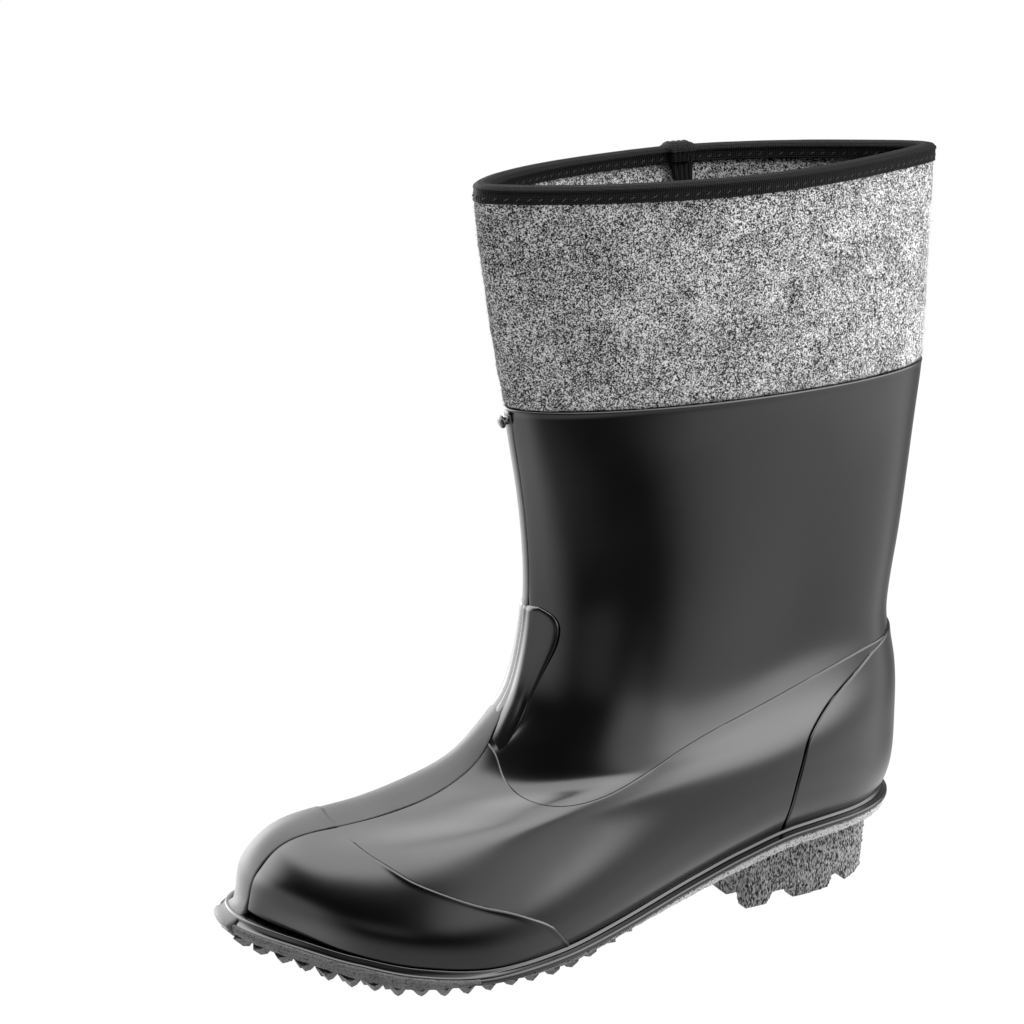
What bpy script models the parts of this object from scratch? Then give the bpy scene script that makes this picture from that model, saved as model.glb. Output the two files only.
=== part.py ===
"""Rubber boot with a felt cuff, left foot. Sizes are in millimetres, turned into metres at the end.

x runs from heel to toe, y to the outside of the foot, z up from the floor.
Every piece of the upper is cut from one skin: level rings from the feather line, where the
upper meets the sole, up to the collar. A place on the skin is (share, level): share 0 is the
front centre line, 1 the back centre line, positive on the outside of the foot.
"""
from collections import namedtuple

import bmesh
import bpy
import numpy as np
from mathutils import Matrix, Vector

MM = 0.001

# Middle of the boot's length and width, which becomes the origin
CENTRE_X = 140.76
CENTRE_Y = -1.84

# Walls and thicknesses
GAP = 0.3
LIFT = 0.70
WALL = 2.2
CAP = 0.9
GALOSH = 0.6
COUNTER = 0.9
PAD = 0.8
STRIP = 0.8
FELT = 4.6
TAPE = 0.9
INSOLE = 3.0

# Columns round each ring of the upper, per side, and how far they crowd to toe and heel
SIDE_COLUMNS = 26
CROWDING = 0.45

# One row per level: ends of the ring on the centre line, half widths at four stations,
# how far the inner side is drawn in at the arch, share of the sole's dip, sideways lean, and where
# the front is ridged: height of the ridge and share by which the inner side is slimmer
Level = namedtuple("Level", "front_x front_z back_x back_z heel waist ball toe arch drop lean crest slim",
                   defaults=(0.0, 0.0))
LEVELS = {
    "feather": Level(291.0, 31.6, 3.0, 38.3, 31.5, 36.4, 51.5, 21.5, 6.0, 1.0, 0.0),
    "bulge": Level(289.6, 41.5, -0.3, 47.0, 34.2, 42.0, 53.0, 23.5, 5.0, 0.8, 0.0),
    "toe_wall": Level(286.8, 50.6, -1.5, 58.0, 36.6, 46.0, 48.4, 20.5, 2.0, 0.5, 0.0, 0.0, 0.15),
    "toe_top": Level(273.6, 59.6, -1.5, 72.0, 37.2, 47.4, 41.2, 16.0, 0.0, 0.25, 0.0, 4.0, 0.22),
    "cap": Level(249.5, 61.0, -1.0, 86.0, 36.2, 45.8, 40.0, 11.0, 0.0, 0.1, 0.0, 7.2, 0.32),
    "vamp_1": Level(227.5, 62.3, 0.2, 98.0, 34.2, 42.4, 39.2, 10.2, 0.0, 0.0, 0.0, 9.4, 0.36),
    "vamp_2": Level(204.2, 69.0, 2.2, 107.0, 32.3, 39.0, 38.4, 12.4, 0.0, 0.0, 0.0, 11.2, 0.36),
    "instep": Level(188.7, 84.8, 3.5, 115.0, 30.8, 35.8, 36.5, 14.4, 0.0, 0.0, 0.0, 8.0, 0.25),
    "throat": Level(178.1, 103.5, 3.8, 124.0, 29.5, 33.6, 34.4, 13.2, 0.0, 0.0, 0.0, 2.0, 0.10),
    "ankle": Level(172.0, 129.0, 1.5, 139.0, 28.4, 32.6, 32.8, 11.5, 0.0, 0.0, 0.0),
    "shin_1": Level(170.5, 153.0, -2.0, 156.0, 27.2, 32.4, 31.6, 10.5, 0.0, 0.0, 0.0),
    "shin_2": Level(172.9, 183.0, -6.5, 184.0, 25.4, 32.0, 30.4, 10.5, 0.0, 0.0, 0.0),
    "shin_3": Level(176.6, 206.0, -10.5, 206.0, 22.8, 31.4, 28.9, 10.5, 0.0, 0.0, 0.0),
    "rim": Level(179.4, 223.0, -13.4, 223.0, 20.5, 30.5, 27.5, 10.5, 0.0, 0.0, 0.0),
    "felt_1": Level(184.0, 248.0, -14.8, 248.0, 19.5, 30.5, 27.5, 10.0, 0.0, 0.0, -1.0),
    "felt_2": Level(188.8, 278.0, -16.2, 278.0, 18.0, 33.0, 29.5, 10.0, 0.0, 0.0, -2.4),
    "felt_3": Level(191.5, 302.0, -17.0, 302.0, 17.0, 35.0, 32.0, 10.5, 0.0, 0.0, -4.2),
    "collar": Level(190.5, 312.5, -17.0, 312.5, 16.5, 35.0, 32.0, 10.5, 0.0, 0.0, -5.0),
    "above": Level(190.5, 323.0, -17.0, 323.0, 16.5, 35.0, 32.0, 10.5, 0.0, 0.0, -5.0),
}
STATIONS = (0.0, 0.22, 0.42, 0.65, 0.88, 1.0)
ARCH_AT = 0.42
ARCH_REACH = 0.16
CREST_WIDE = 14.0
SLIM_AT = 0.80
SLIM_REACH = 0.16

# The toe swings to the inside of the foot from this x on
SWING = -13.0
SWING_FROM = 150.0
TOE_TIP = 297.0

# Sole along the foot: feather line, underside of the plate, tips of the teeth
SoleRow = namedtuple("SoleRow", "x feather under tips")
SOLE = (
    SoleRow(-5.0, 38.2, 31.4, 31.4),
    SoleRow(40.0, 38.5, 30.4, 30.4),
    SoleRow(62.0, 37.4, 29.2, 29.2),
    SoleRow(90.0, 31.9, 23.8, 23.8),
    SoleRow(112.0, 26.6, 18.6, 18.6),
    SoleRow(155.0, 17.7, 9.8, 6.6),
    SoleRow(183.0, 13.6, 5.4, 0.0),
    SoleRow(210.0, 12.1, 5.0, 0.0),
    SoleRow(240.0, 15.4, 5.2, 0.0),
    SoleRow(261.0, 20.4, 9.4, 4.2),
    SoleRow(279.0, 26.5, 15.4, 10.0),
    SoleRow(300.0, 32.0, 21.2, 15.8),
)

# Sole edge, from the top: flange stands out from the feather line, more at the toe
SOLE_STEPS = 36
FLANGE_OUT = 4.6
FLANGE_OUT_TOE = 9.5
FLANGE_TOE_FROM = 258.0
FLANGE_SLOPE = 2.0
FLANGE_TALL = 3.8
FLANGE_TALL_TOE = 5.2
LIP_INSET = 1.6
LIP_DROP = 0.7
PLATE_INSET = 3.2
EDGE_TOOTH_WIDE = 9.0
EDGE_TOOTH_SHORT = 3.0
EDGE_CROWN = 1.8
CROWN_FROM = 90.0
CROWN_FULL = 150.0
EDGE_TOOTH_TIP = 0.30
LUG_TIP = 0.55
TREAD_STEPS = 19
LUG_COLUMNS = 4

# Heel block and the grooves in its underside
HEEL_FRONT = 82.0
HEEL_INSET = 5.4
HEEL_TAPER = 1.8
Groove = namedtuple("Groove", "front back roof depth")
HEEL_GROOVES = {
    "front": Groove(71.0, 58.0, 7.2, 5.0),
    "rear": Groove(38.5, 28.5, 6.6, 5.0),
}
BREAST_GROOVE_WIDE = 9.5
BREAST_GROOVE_DEEP = 5.4
BREAST_GROOVE_BACK = 45.0
BREAST_GROOVE_IN = 13.5

# Edges of the overlays on the skin
EdgeRow = namedtuple("EdgeRow", "share level")
CAP_EDGE = (
    EdgeRow(0.000, 3.65),
    EdgeRow(0.045, 3.46),
    EdgeRow(0.090, 3.18),
    EdgeRow(0.127, 2.90),
    EdgeRow(0.165, 2.62),
    EdgeRow(0.203, 2.32),
    EdgeRow(0.250, 2.03),
    EdgeRow(0.293, 1.78),
    EdgeRow(0.333, 1.55),
    EdgeRow(0.366, 1.25),
    EdgeRow(0.393, 0.86),
    EdgeRow(0.421, 0.12),
)
GALOSH_EDGE = (
    EdgeRow(0.000, 6.76),
    EdgeRow(0.050, 6.63),
    EdgeRow(0.092, 6.22),
    EdgeRow(0.160, 5.58),
    EdgeRow(0.232, 4.90),
    EdgeRow(0.300, 4.48),
    EdgeRow(0.350, 4.68),
    EdgeRow(0.372, 5.28),
    EdgeRow(0.400, 5.92),
    EdgeRow(0.470, 6.26),
    EdgeRow(0.575, 6.44),
    EdgeRow(0.690, 6.72),
    EdgeRow(0.787, 6.92),
)
COUNTER_EDGE = (
    EdgeRow(0.754, 0.00),
    EdgeRow(0.730, 1.50),
    EdgeRow(0.720, 2.35),
    EdgeRow(0.712, 3.15),
    EdgeRow(0.703, 4.00),
    EdgeRow(0.713, 4.72),
    EdgeRow(0.737, 5.45),
    EdgeRow(0.771, 6.00),
    EdgeRow(0.808, 6.45),
    EdgeRow(0.860, 6.67),
    EdgeRow(0.890, 6.72),
)
COUNTER_TOP = 6.72
GALOSH_TURN = 5 / 12
GALOSH_END = 0.80
EDGE_GAP = 0.0016
CAP_CLEAR = 0.008

# How the columns of the cap and the galosh are spent along the cap's edge
SpendRow = namedtuple("SpendRow", "count along")
SHOULDER = (
    SpendRow(0.0, 0.0),
    SpendRow(0.25, 0.13),
    SpendRow(0.62, 0.45),
    SpendRow(1.0, 1.0),
)

# Half widths, in millimetres along the ring, of the strip and the pad at the front; the pad's
# rows sag towards its sides
WidthRow = namedtuple("WidthRow", "level inner outer")
PadRow = namedtuple("PadRow", "level half sag")
STRIP_WIDTHS = (
    WidthRow(0.0, 9.0, 5.0),
    WidthRow(1.2, 12.5, 6.2),
    WidthRow(2.0, 14.0, 7.5),
    WidthRow(2.8, 13.0, 9.4),
    WidthRow(3.5, 12.5, 13.2),
    WidthRow(4.3, 12.0, 14.8),
    WidthRow(5.0, 11.5, 14.2),
    WidthRow(5.7, 11.0, 11.0),
    WidthRow(6.5, 9.5, 8.4),
    WidthRow(7.1, 8.0, 5.5),
    WidthRow(7.8, 7.0, 2.6),
    WidthRow(8.6, 6.5, 1.8),
    WidthRow(9.5, 6.5, 1.8),
    WidthRow(12.5, 6.0, 2.4),
)
PAD_ROWS = (
    PadRow(6.90, 15.0, 0.32),
    PadRow(7.15, 13.6, 0.18),
    PadRow(7.50, 12.5, 0.04),
    PadRow(7.90, 11.3, 0.00),
    PadRow(8.22, 12.0, 0.00),
    PadRow(8.53, 13.7, 0.00),
    PadRow(8.82, 15.6, 0.00),
    PadRow(9.05, 16.3, 0.00),
    PadRow(9.25, 15.6, 0.00),
    PadRow(9.42, 12.4, 0.00),
    PadRow(9.53, 7.0, 0.00),
)
STRIP_TOP = 12.45

# Felt cuff and the tape folded over its edge
FELT_TOP = 16.80
FELT_TUCK = 12.0
RIM = 13.0
TAPE_FOOT = 16.22
TAPE_CEILING = 16.84
TAPE_TOP = 16.97
JOIN_SHARE = -0.53
JOIN_WIDE = 13.0
JOIN_TAIL_WIDE = 8.5
JOIN_TAIL = 15.75
JOIN_THICK = 1.0

# Peg at the front of the rubber rim
NUB_LEVEL = 12.74
NUB_RADIUS = 2.7
NUB_LONG = 4.2
NUB_BEVEL = 0.8

PAINT = {
    "black_rubber": ((0.016, 0.016, 0.017, 1.0), 0.42),
    "tread_rubber": ((0.045, 0.045, 0.046, 1.0), 0.8),
    "grey_felt": ((0.34, 0.34, 0.34, 1.0), 0.95),
    "black_tape": ((0.012, 0.012, 0.012, 1.0), 0.8),
    "insole_felt": ((0.25, 0.25, 0.25, 1.0), 0.95),
}


def natural(xs, ys, at):
    """Natural cubic spline through (xs, ys); ys may have columns."""
    xs, ys, at = (np.asarray(a, float) for a in (xs, ys, at))
    step = np.diff(xs)
    system = np.eye(len(xs))
    bend = np.zeros_like(ys)
    for i in range(1, len(xs) - 1):
        system[i, i - 1:i + 2] = step[i - 1], 2 * (step[i - 1] + step[i]), step[i]
        bend[i] = 6 * ((ys[i + 1] - ys[i]) / step[i] - (ys[i] - ys[i - 1]) / step[i - 1])
    bend = np.linalg.solve(system, bend)
    i = np.clip(np.searchsorted(xs, at) - 1, 0, len(xs) - 2)
    d, h = at - xs[i], step[i]
    if ys.ndim == 2:
        d, h = d[:, None], h[:, None]
    slope = (ys[i + 1] - ys[i]) / h - h * (2 * bend[i] + bend[i + 1]) / 6
    return ys[i] + d * (slope + d * (bend[i] / 2 + d * (bend[i + 1] - bend[i]) / (6 * h)))


def level_run(xs, ys, at):
    """Smooth curve through (xs, ys) that keeps level runs level and never overshoots."""
    xs, ys, at = (np.asarray(a, float) for a in (xs, ys, at))
    step = np.diff(xs)
    rise = np.diff(ys) / step
    slope = np.zeros(len(xs))
    for i in range(1, len(xs) - 1):
        if rise[i - 1] * rise[i] > 0:
            slope[i] = 2 * rise[i - 1] * rise[i] / (rise[i - 1] + rise[i])
    slope[0], slope[-1] = rise[0], rise[-1]
    i = np.clip(np.searchsorted(xs, at) - 1, 0, len(xs) - 2)
    h = step[i]
    t = np.clip((at - xs[i]) / h, 0.0, 1.0)
    return ((1 + 2 * t) * (1 - t) ** 2 * ys[i] + t * (1 - t) ** 2 * h * slope[i]
            + t * t * (3 - 2 * t) * ys[i + 1] + t * t * (t - 1) * h * slope[i + 1])


def sole_height(column, x):
    """Height of one line of the sole at x."""
    return level_run([row.x for row in SOLE], [getattr(row, column) for row in SOLE], x)


def level_ring(row, samples):
    """One ring of the skin at even shares of its length on each side."""
    s = np.linspace(0.0, 1.0, 161)
    half = natural(STATIONS, (0.0, row.heel, row.waist, row.ball, row.toe, 0.0), s).clip(0.0)
    drawn = half - row.arch * np.exp(-((s - ARCH_AT) / ARCH_REACH) ** 2) * np.sin(np.pi * s)
    drawn = drawn * (1 - row.slim * np.exp(-((s - SLIM_AT) / SLIM_REACH) ** 2))
    x = row.back_x + (row.front_x - row.back_x) * (1 - np.cos(np.pi * s)) / 2
    run = (x - row.back_x) / (row.front_x - row.back_x)
    heel_z, toe_z = sole_height("feather", LEVELS["feather"].back_x), sole_height("feather", TOE_TIP)
    dip = sole_height("feather", x) - (heel_z + (toe_z - heel_z) * x / TOE_TIP)
    z = row.back_z + (row.front_z - row.back_z) * run + row.drop * dip
    z = z + row.crest * np.exp(-(half / CREST_WIDE) ** 2) * (s > 0.5)
    turn = np.maximum(x - SWING_FROM, 0.0) / (TOE_TIP - SWING_FROM)
    middle = SWING * turn ** 2 + row.lean * np.sin(np.pi * s)
    sides = []
    for y in (middle + half, middle - drawn.clip(0.0)):
        line = np.stack([x, y, z], 1)[::-1]
        length = np.concatenate([[0.0], np.cumsum(np.linalg.norm(np.diff(line, axis=0), axis=1))])
        even = np.linspace(0.0, length[-1], samples + 1)
        sides.append(np.stack([np.interp(even, length, line[:, k]) for k in range(3)], 1))
    return np.concatenate([sides[1][:0:-1], sides[0]])


class Skin:
    """The outer face of the upper and cuff as a fine table of points and normals."""

    SAMPLES = 240
    FINE = 16

    def __init__(self):
        rows = np.array(list(LEVELS.values()))
        self.levels = np.linspace(0, len(rows) - 1, (len(rows) - 1) * self.FINE + 1)
        fine = natural(np.arange(len(rows)), rows, self.levels)
        self.points = np.array([level_ring(Level(*row), self.SAMPLES) for row in fine])
        ring = self.points[:, :-1]
        along = np.roll(ring, -1, 1) - np.roll(ring, 1, 1)
        along = np.concatenate([along, along[:, :1]], 1)
        normal = np.cross(along, np.gradient(self.points, axis=0))
        self.normals = normal / np.linalg.norm(normal, axis=2, keepdims=True)
        self.lengths = np.linalg.norm(np.diff(self.points, axis=1), axis=2).sum(1) / 2

    def read(self, table, share, level):
        share = (np.asarray(share, float) + 1) % 2 - 1
        a, b = (share + 1) * self.SAMPLES, np.asarray(level, float) * self.FINE
        i = np.clip(a.astype(int), 0, table.shape[1] - 2)
        j = np.clip(b.astype(int), 0, table.shape[0] - 2)
        p, q = (a - i)[..., None], (b - j)[..., None]
        low = table[j, i] * (1 - p) + table[j, i + 1] * p
        high = table[j + 1, i] * (1 - p) + table[j + 1, i + 1] * p
        return low * (1 - q) + high * q

    def at(self, share, level, out=0.0):
        """Points at places on the skin, moved outwards along the normal."""
        share, level = np.broadcast_arrays(np.asarray(share, float), np.asarray(level, float))
        normal = self.read(self.normals, share, level)
        normal = normal / np.linalg.norm(normal, axis=-1, keepdims=True)
        return self.read(self.points, share, level) + normal * np.broadcast_to(out, share.shape)[..., None]

    def share_of(self, width, level):
        """Millimetres along a ring as a share of the half ring."""
        return width / np.interp(level, self.levels, self.lengths)


def round_shares(per_side, crowding=0.0):
    """Shares right round a ring from the front, crowded towards toe and heel."""
    t = np.linspace(0.0, 1.0, per_side + 1)
    side = t - crowding * np.sin(2 * np.pi * t) / (2 * np.pi)
    return np.concatenate([side, -side[-2:0:-1]])


def crowded(count, middle):
    """Steps from -1 to 1, closer together in the middle."""
    t = np.linspace(-1.0, 1.0, count)
    return middle * t + (1 - middle) * t ** 3


def shoulder(count):
    """Steps from 0 to 1 along the cap's edge, closer together where the toe box turns down."""
    t = np.linspace(0.0, 1.0, count)
    return np.interp(t, [row.count for row in SHOULDER], [row.along for row in SHOULDER])


def paint(slot):
    """Material for a slot, made once."""
    material = bpy.data.materials.get(slot)
    if material is None:
        material = bpy.data.materials.new(slot)
        material.use_nodes = True
        shader = material.node_tree.nodes["Principled BSDF"]
        colour, rough = PAINT[slot]
        shader.inputs["Base Color"].default_value = colour
        shader.inputs["Roughness"].default_value = rough
        material.diffuse_color = colour
    return material


def place(points):
    """Millimetres to metres about the origin."""
    return (np.asarray(points, float).reshape(-1, 3) - (CENTRE_X, CENTRE_Y, 0.0)) * MM


def solid(name, points, faces, slot, collection=None):
    """Closed mesh object from millimetre points and faces."""
    mesh = bpy.data.meshes.new(name)
    mesh.from_pydata(place(points).tolist(), [], [tuple(int(i) for i in face) for face in faces])
    work = bmesh.new()
    work.from_mesh(mesh)
    bmesh.ops.recalc_face_normals(work, faces=work.faces)
    bmesh.ops.triangulate(work, faces=work.faces, quad_method="SHORT_EDGE")
    work.to_mesh(mesh)
    work.free()
    piece = bpy.data.objects.new(name, mesh)
    (collection or bpy.context.scene.collection).objects.link(piece)
    if slot:
        mesh.materials.append(paint(slot))
    return piece


def loop_solid(name, profile, slot, skin, shares):
    """Ring-shaped solid: a closed profile of (level, out) rows carried round the skin."""
    count, wide = len(profile), len(shares)
    points = np.array([skin.at(shares, np.full(wide, level), out) for level, out in profile])
    faces = []
    for r in range(count):
        for c in range(wide):
            d = (c + 1) % wide
            e = (r + 1) % count
            faces.append((r * wide + c, r * wide + d, e * wide + d, e * wide + c))
    return solid(name, points, faces, slot)


def slab_solid(name, share, level, low, thick, slot, skin):
    """Patch of the skin given thickness: share and level are grids of the same shape."""
    rows, columns = share.shape
    low = np.broadcast_to(low, share.shape)
    points = np.concatenate([skin.at(share, level, low), skin.at(share, level, low + thick)])
    base = rows * columns
    faces = []
    for r in range(rows - 1):
        for c in range(columns - 1):
            a = r * columns + c
            quad = (a, a + 1, a + columns + 1, a + columns)
            faces += [quad, tuple(i + base for i in quad)]
    edge = [c for c in range(columns)]
    edge += [r * columns + columns - 1 for r in range(1, rows)]
    edge += [(rows - 1) * columns + c for c in range(columns - 2, -1, -1)]
    edge += [r * columns for r in range(rows - 2, 0, -1)]
    for a, b in zip(edge, edge[1:] + edge[:1]):
        faces.append((a, b, b + base, a + base))
    return solid(name, points.reshape(-1, 3), faces, slot)


def make_upper(skin):
    outer = (0.0, 0.5, 1.0, 1.5, 2.0, 2.5, 3.0, 3.5, 4.0, 4.6, 5.2, 5.7, 6.1, 6.5, 6.9, 7.4, 8.0, 8.4, 9.1,
             9.68, 10.4, 11.4, RIM)
    inner = (RIM, FELT_TUCK, 10.4, 9.1, 7.8, 6.5, 5.2, 4.0, 3.0, 2.0, 1.0, 0.0)
    profile = [(level, 0.0) for level in outer] + [(level, -WALL) for level in inner]
    loop_solid("upper", profile, "black_rubber", skin, round_shares(SIDE_COLUMNS, CROWDING))


def edge_path(edge, along):
    """Share and level along an overlay's edge, from 0 at its first row to 1 at its last."""
    return natural(np.arange(len(edge)), np.array(edge), np.abs(along) * (len(edge) - 1)).T


def counter_share(level):
    """Share of the ring where the heel counter begins at a level."""
    return natural([row.level for row in COUNTER_EDGE], [row.share for row in COUNTER_EDGE], level)


def make_overlays(skin):
    foot = 0.06

    front = shoulder(21)
    run = np.concatenate([-front[:0:-1], front])
    share, top = edge_path(CAP_EDGE, run)
    up = np.linspace(0.0, 1.0, 8)[:, None]
    level = foot + up * (top - foot)
    slab_solid("toe_cap", np.broadcast_to(np.sign(run) * share, level.shape), level, LIFT, CAP,
               "black_rubber", skin)

    half = np.concatenate([front * GALOSH_TURN, np.linspace(GALOSH_TURN + 0.03, 1.0, 16)])
    run = np.concatenate([-half[:0:-1], half])
    along = np.abs(run)
    high_share, high = edge_path(GALOSH_EDGE, along)
    low_share, low = edge_path(CAP_EDGE, np.minimum(along / GALOSH_TURN, 1.0))
    behind = np.maximum(along - GALOSH_TURN, 0.0) / (1.0 - GALOSH_TURN)
    low_share = low_share + CAP_CLEAR + (counter_share(foot) - CAP_CLEAR - low_share) * behind
    low = np.where(behind > 0.0, foot, low + 0.02)
    up = np.array([0.0, 0.16, 0.32, 0.48, 0.64, 0.78, 0.9, 1.0])[:, None]
    share = low_share + up * (high_share - low_share)
    level = low + up * (high - low)
    end = np.minimum(counter_share(np.minimum(level[:, -1:], COUNTER_TOP)) - 3 * EDGE_GAP, GALOSH_END)
    share = share + (end - share[:, -1:]) * behind ** 3
    share = np.where(along > 0.0, share, 0.0)
    slab_solid("galosh", np.sign(run) * share, level, LIFT, GALOSH, "black_rubber", skin)

    up = np.array([foot, 0.9, 1.8, 2.7, 3.6, 4.5, 5.3, 5.9, 6.25, 6.45, 6.58, 6.66, COUNTER_TOP])[:, None]
    front = counter_share(up)
    share = front + np.linspace(0.0, 1.0, 21) * 2 * (1 - front)
    slab_solid("heel_counter", share, np.broadcast_to(up, share.shape), LIFT, COUNTER, "black_rubber", skin)

    levels = [row.level for row in PAD_ROWS]
    half = skin.share_of(np.array([row.half for row in PAD_ROWS]), levels)[:, None]
    across = crowded(11, 0.6)
    sag = np.array([row.sag for row in PAD_ROWS])[:, None] * across ** 2
    slab_solid("instep_pad", half * across, np.array(levels)[:, None] - sag, LIFT, PAD, "black_rubber", skin)

    on_cap, on_galosh, on_pad = (LIFT + GAP + thick for thick in (CAP, GALOSH, PAD))
    rows = [(level, on_cap) for level in (foot, 0.5, 1.0, 1.4, 1.8, 2.2, 2.6, 3.0, 3.35, 3.68)]
    rows += [(level, on_galosh) for level in (3.72, 4.2, 4.8, 5.4, 5.8, 6.2, 6.5, 6.8)]
    rows += [(level, on_pad) for level in (6.88, 7.3, 7.8, 8.3, 8.9, 9.58)]
    rows += [(level, GAP) for level in (9.68, 10.4, 11.4, STRIP_TOP)]
    levels = np.array([level for level, low in rows])
    widths = natural([row.level for row in STRIP_WIDTHS], np.array(STRIP_WIDTHS), levels)
    inner, outer = (skin.share_of(widths[:, k], levels)[:, None] for k in (1, 2))
    share = (inner + outer) * np.linspace(0.0, 1.0, 9) - inner
    low = np.broadcast_to(np.array([low for level, low in rows])[:, None], share.shape)
    slab_solid("front_strip", share, np.broadcast_to(levels[:, None], share.shape), low, STRIP,
               "black_rubber", skin)


def make_cuff(skin):
    shares = round_shares(SIDE_COLUMNS, CROWDING)
    over_rim = RIM + 0.03
    tuck = -WALL - GAP
    outer = [(level, 0.0) for level in (FELT_TOP, TAPE_FOOT, 15.0, 14.0, over_rim)]
    tucked = [(over_rim, tuck), (FELT_TUCK, tuck), (FELT_TUCK, tuck - 3.4), (RIM, tuck - 3.4)]
    inner = [(level, -FELT) for level in (14.0, TAPE_FOOT, FELT_TOP)]
    loop_solid("felt_cuff", outer + tucked + inner, "grey_felt", skin, shares)

    inside = -FELT - GAP
    tape = [(TAPE_FOOT, GAP), (TAPE_FOOT, GAP + TAPE), (TAPE_TOP - 0.07, GAP + TAPE),
            (TAPE_TOP, -FELT / 2), (TAPE_TOP - 0.07, inside - TAPE), (TAPE_FOOT, inside - TAPE),
            (TAPE_FOOT, inside), (TAPE_CEILING, inside), (TAPE_CEILING, GAP)]
    loop_solid("collar_binding", tape, "black_tape", skin, shares)

    near = [(TAPE_FOOT, GAP * 2 + TAPE), (TAPE_TOP - 0.04, GAP * 2 + TAPE), (TAPE_TOP + 0.04, -FELT / 2),
            (TAPE_TOP - 0.04, inside - TAPE - GAP), (TAPE_FOOT, inside - TAPE - GAP), (JOIN_TAIL, inside - GAP)]
    far = [(TAPE_FOOT, GAP * 2 + TAPE + JOIN_THICK), (TAPE_TOP + 0.02, GAP * 2 + TAPE + JOIN_THICK),
           (TAPE_TOP + 0.14, -FELT / 2), (TAPE_TOP + 0.02, inside - TAPE - GAP - JOIN_THICK),
           (TAPE_FOOT, inside - TAPE - GAP - JOIN_THICK), (JOIN_TAIL, inside - GAP - JOIN_THICK)]
    wide = [JOIN_WIDE] * 5 + [JOIN_TAIL_WIDE]
    path = near + far[::-1]
    widths = wide + wide[::-1]
    points = []
    for (level, out), width in zip(path, widths):
        half = skin.share_of(width / 2, level)
        points.append(skin.at(np.array([JOIN_SHARE - half, JOIN_SHARE + half]), np.array([level, level]), out))
    count = len(path)
    faces = []
    for i in range(count):
        j = (i + 1) % count
        faces.append((2 * i, 2 * i + 1, 2 * j + 1, 2 * j))
    for i in range(len(near) - 1):
        a, b = count - 1 - i, count - 2 - i
        faces += [(2 * i, 2 * i + 2, 2 * b, 2 * a), (2 * i + 1, 2 * i + 3, 2 * b + 1, 2 * a + 1)]
    solid("binding_join", np.array(points).reshape(-1, 3), faces, "black_tape")


def make_nub(skin):
    foot = skin.at(0.0, NUB_LEVEL, LIFT)
    out = skin.at(0.0, NUB_LEVEL, 1.0) - skin.at(0.0, NUB_LEVEL, 0.0)
    mesh = bpy.data.meshes.new("front_nub")
    work = bmesh.new()
    turn = Vector(out).to_track_quat("Z", "Y").to_matrix().to_4x4()
    spot = Matrix.Translation(Vector(place(foot)[0])) @ turn @ Matrix.Translation((0, 0, NUB_LONG * MM / 2))
    bmesh.ops.create_cone(work, cap_ends=True, segments=14, radius1=NUB_RADIUS * MM,
                          radius2=NUB_RADIUS * MM, depth=NUB_LONG * MM, matrix=spot)
    centre = Vector(place(foot)[0])
    tip = [edge for edge in work.edges
           if all((v.co - centre).dot(Vector(out)) > NUB_LONG * MM * 0.9 for v in edge.verts)]
    bmesh.ops.bevel(work, geom=tip, offset=NUB_BEVEL * MM, segments=2, affect="EDGES", profile=0.5)
    bmesh.ops.triangulate(work, faces=work.faces)
    work.to_mesh(mesh)
    work.free()
    mesh.materials.append(paint("black_rubber"))
    piece = bpy.data.objects.new("front_nub", mesh)
    bpy.context.scene.collection.objects.link(piece)


class Plan:
    """Outline of the sole: the feather line's plan, moved in or out."""

    def __init__(self, skin, steps):
        self.steps = steps
        shares = round_shares(steps)
        self.points = skin.at(shares, np.zeros(len(shares)))[:, :2]
        normal = skin.at(shares, np.zeros(len(shares)), 1.0)[:, :2] - self.points
        self.normals = normal / np.linalg.norm(normal, axis=1, keepdims=True)

    def moved(self, out):
        return self.points + self.normals * np.broadcast_to(out, len(self.points))[:, None]

    def raised(self, out, column, shift=0.0):
        """Outline as 3-D points at a line of the sole."""
        flat = self.moved(out)
        height = sole_height(column, flat[:, 0]) + shift
        return np.column_stack([flat, height])


def ladder(first, count):
    """Faces closing an outline whose two sides pair up across the foot."""
    half = count // 2
    faces = [(first, first + 1, first + count - 1)]
    for k in range(1, half - 1):
        faces.append((first + k, first + k + 1, first + count - k - 1, first + count - k))
    faces.append((first + half - 1, first + half, first + half + 1))
    return faces


def band(first, second, count):
    """Faces between two outlines of the same count."""
    return [(first + k, first + (k + 1) % count, second + (k + 1) % count, second + k) for k in range(count)]


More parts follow.
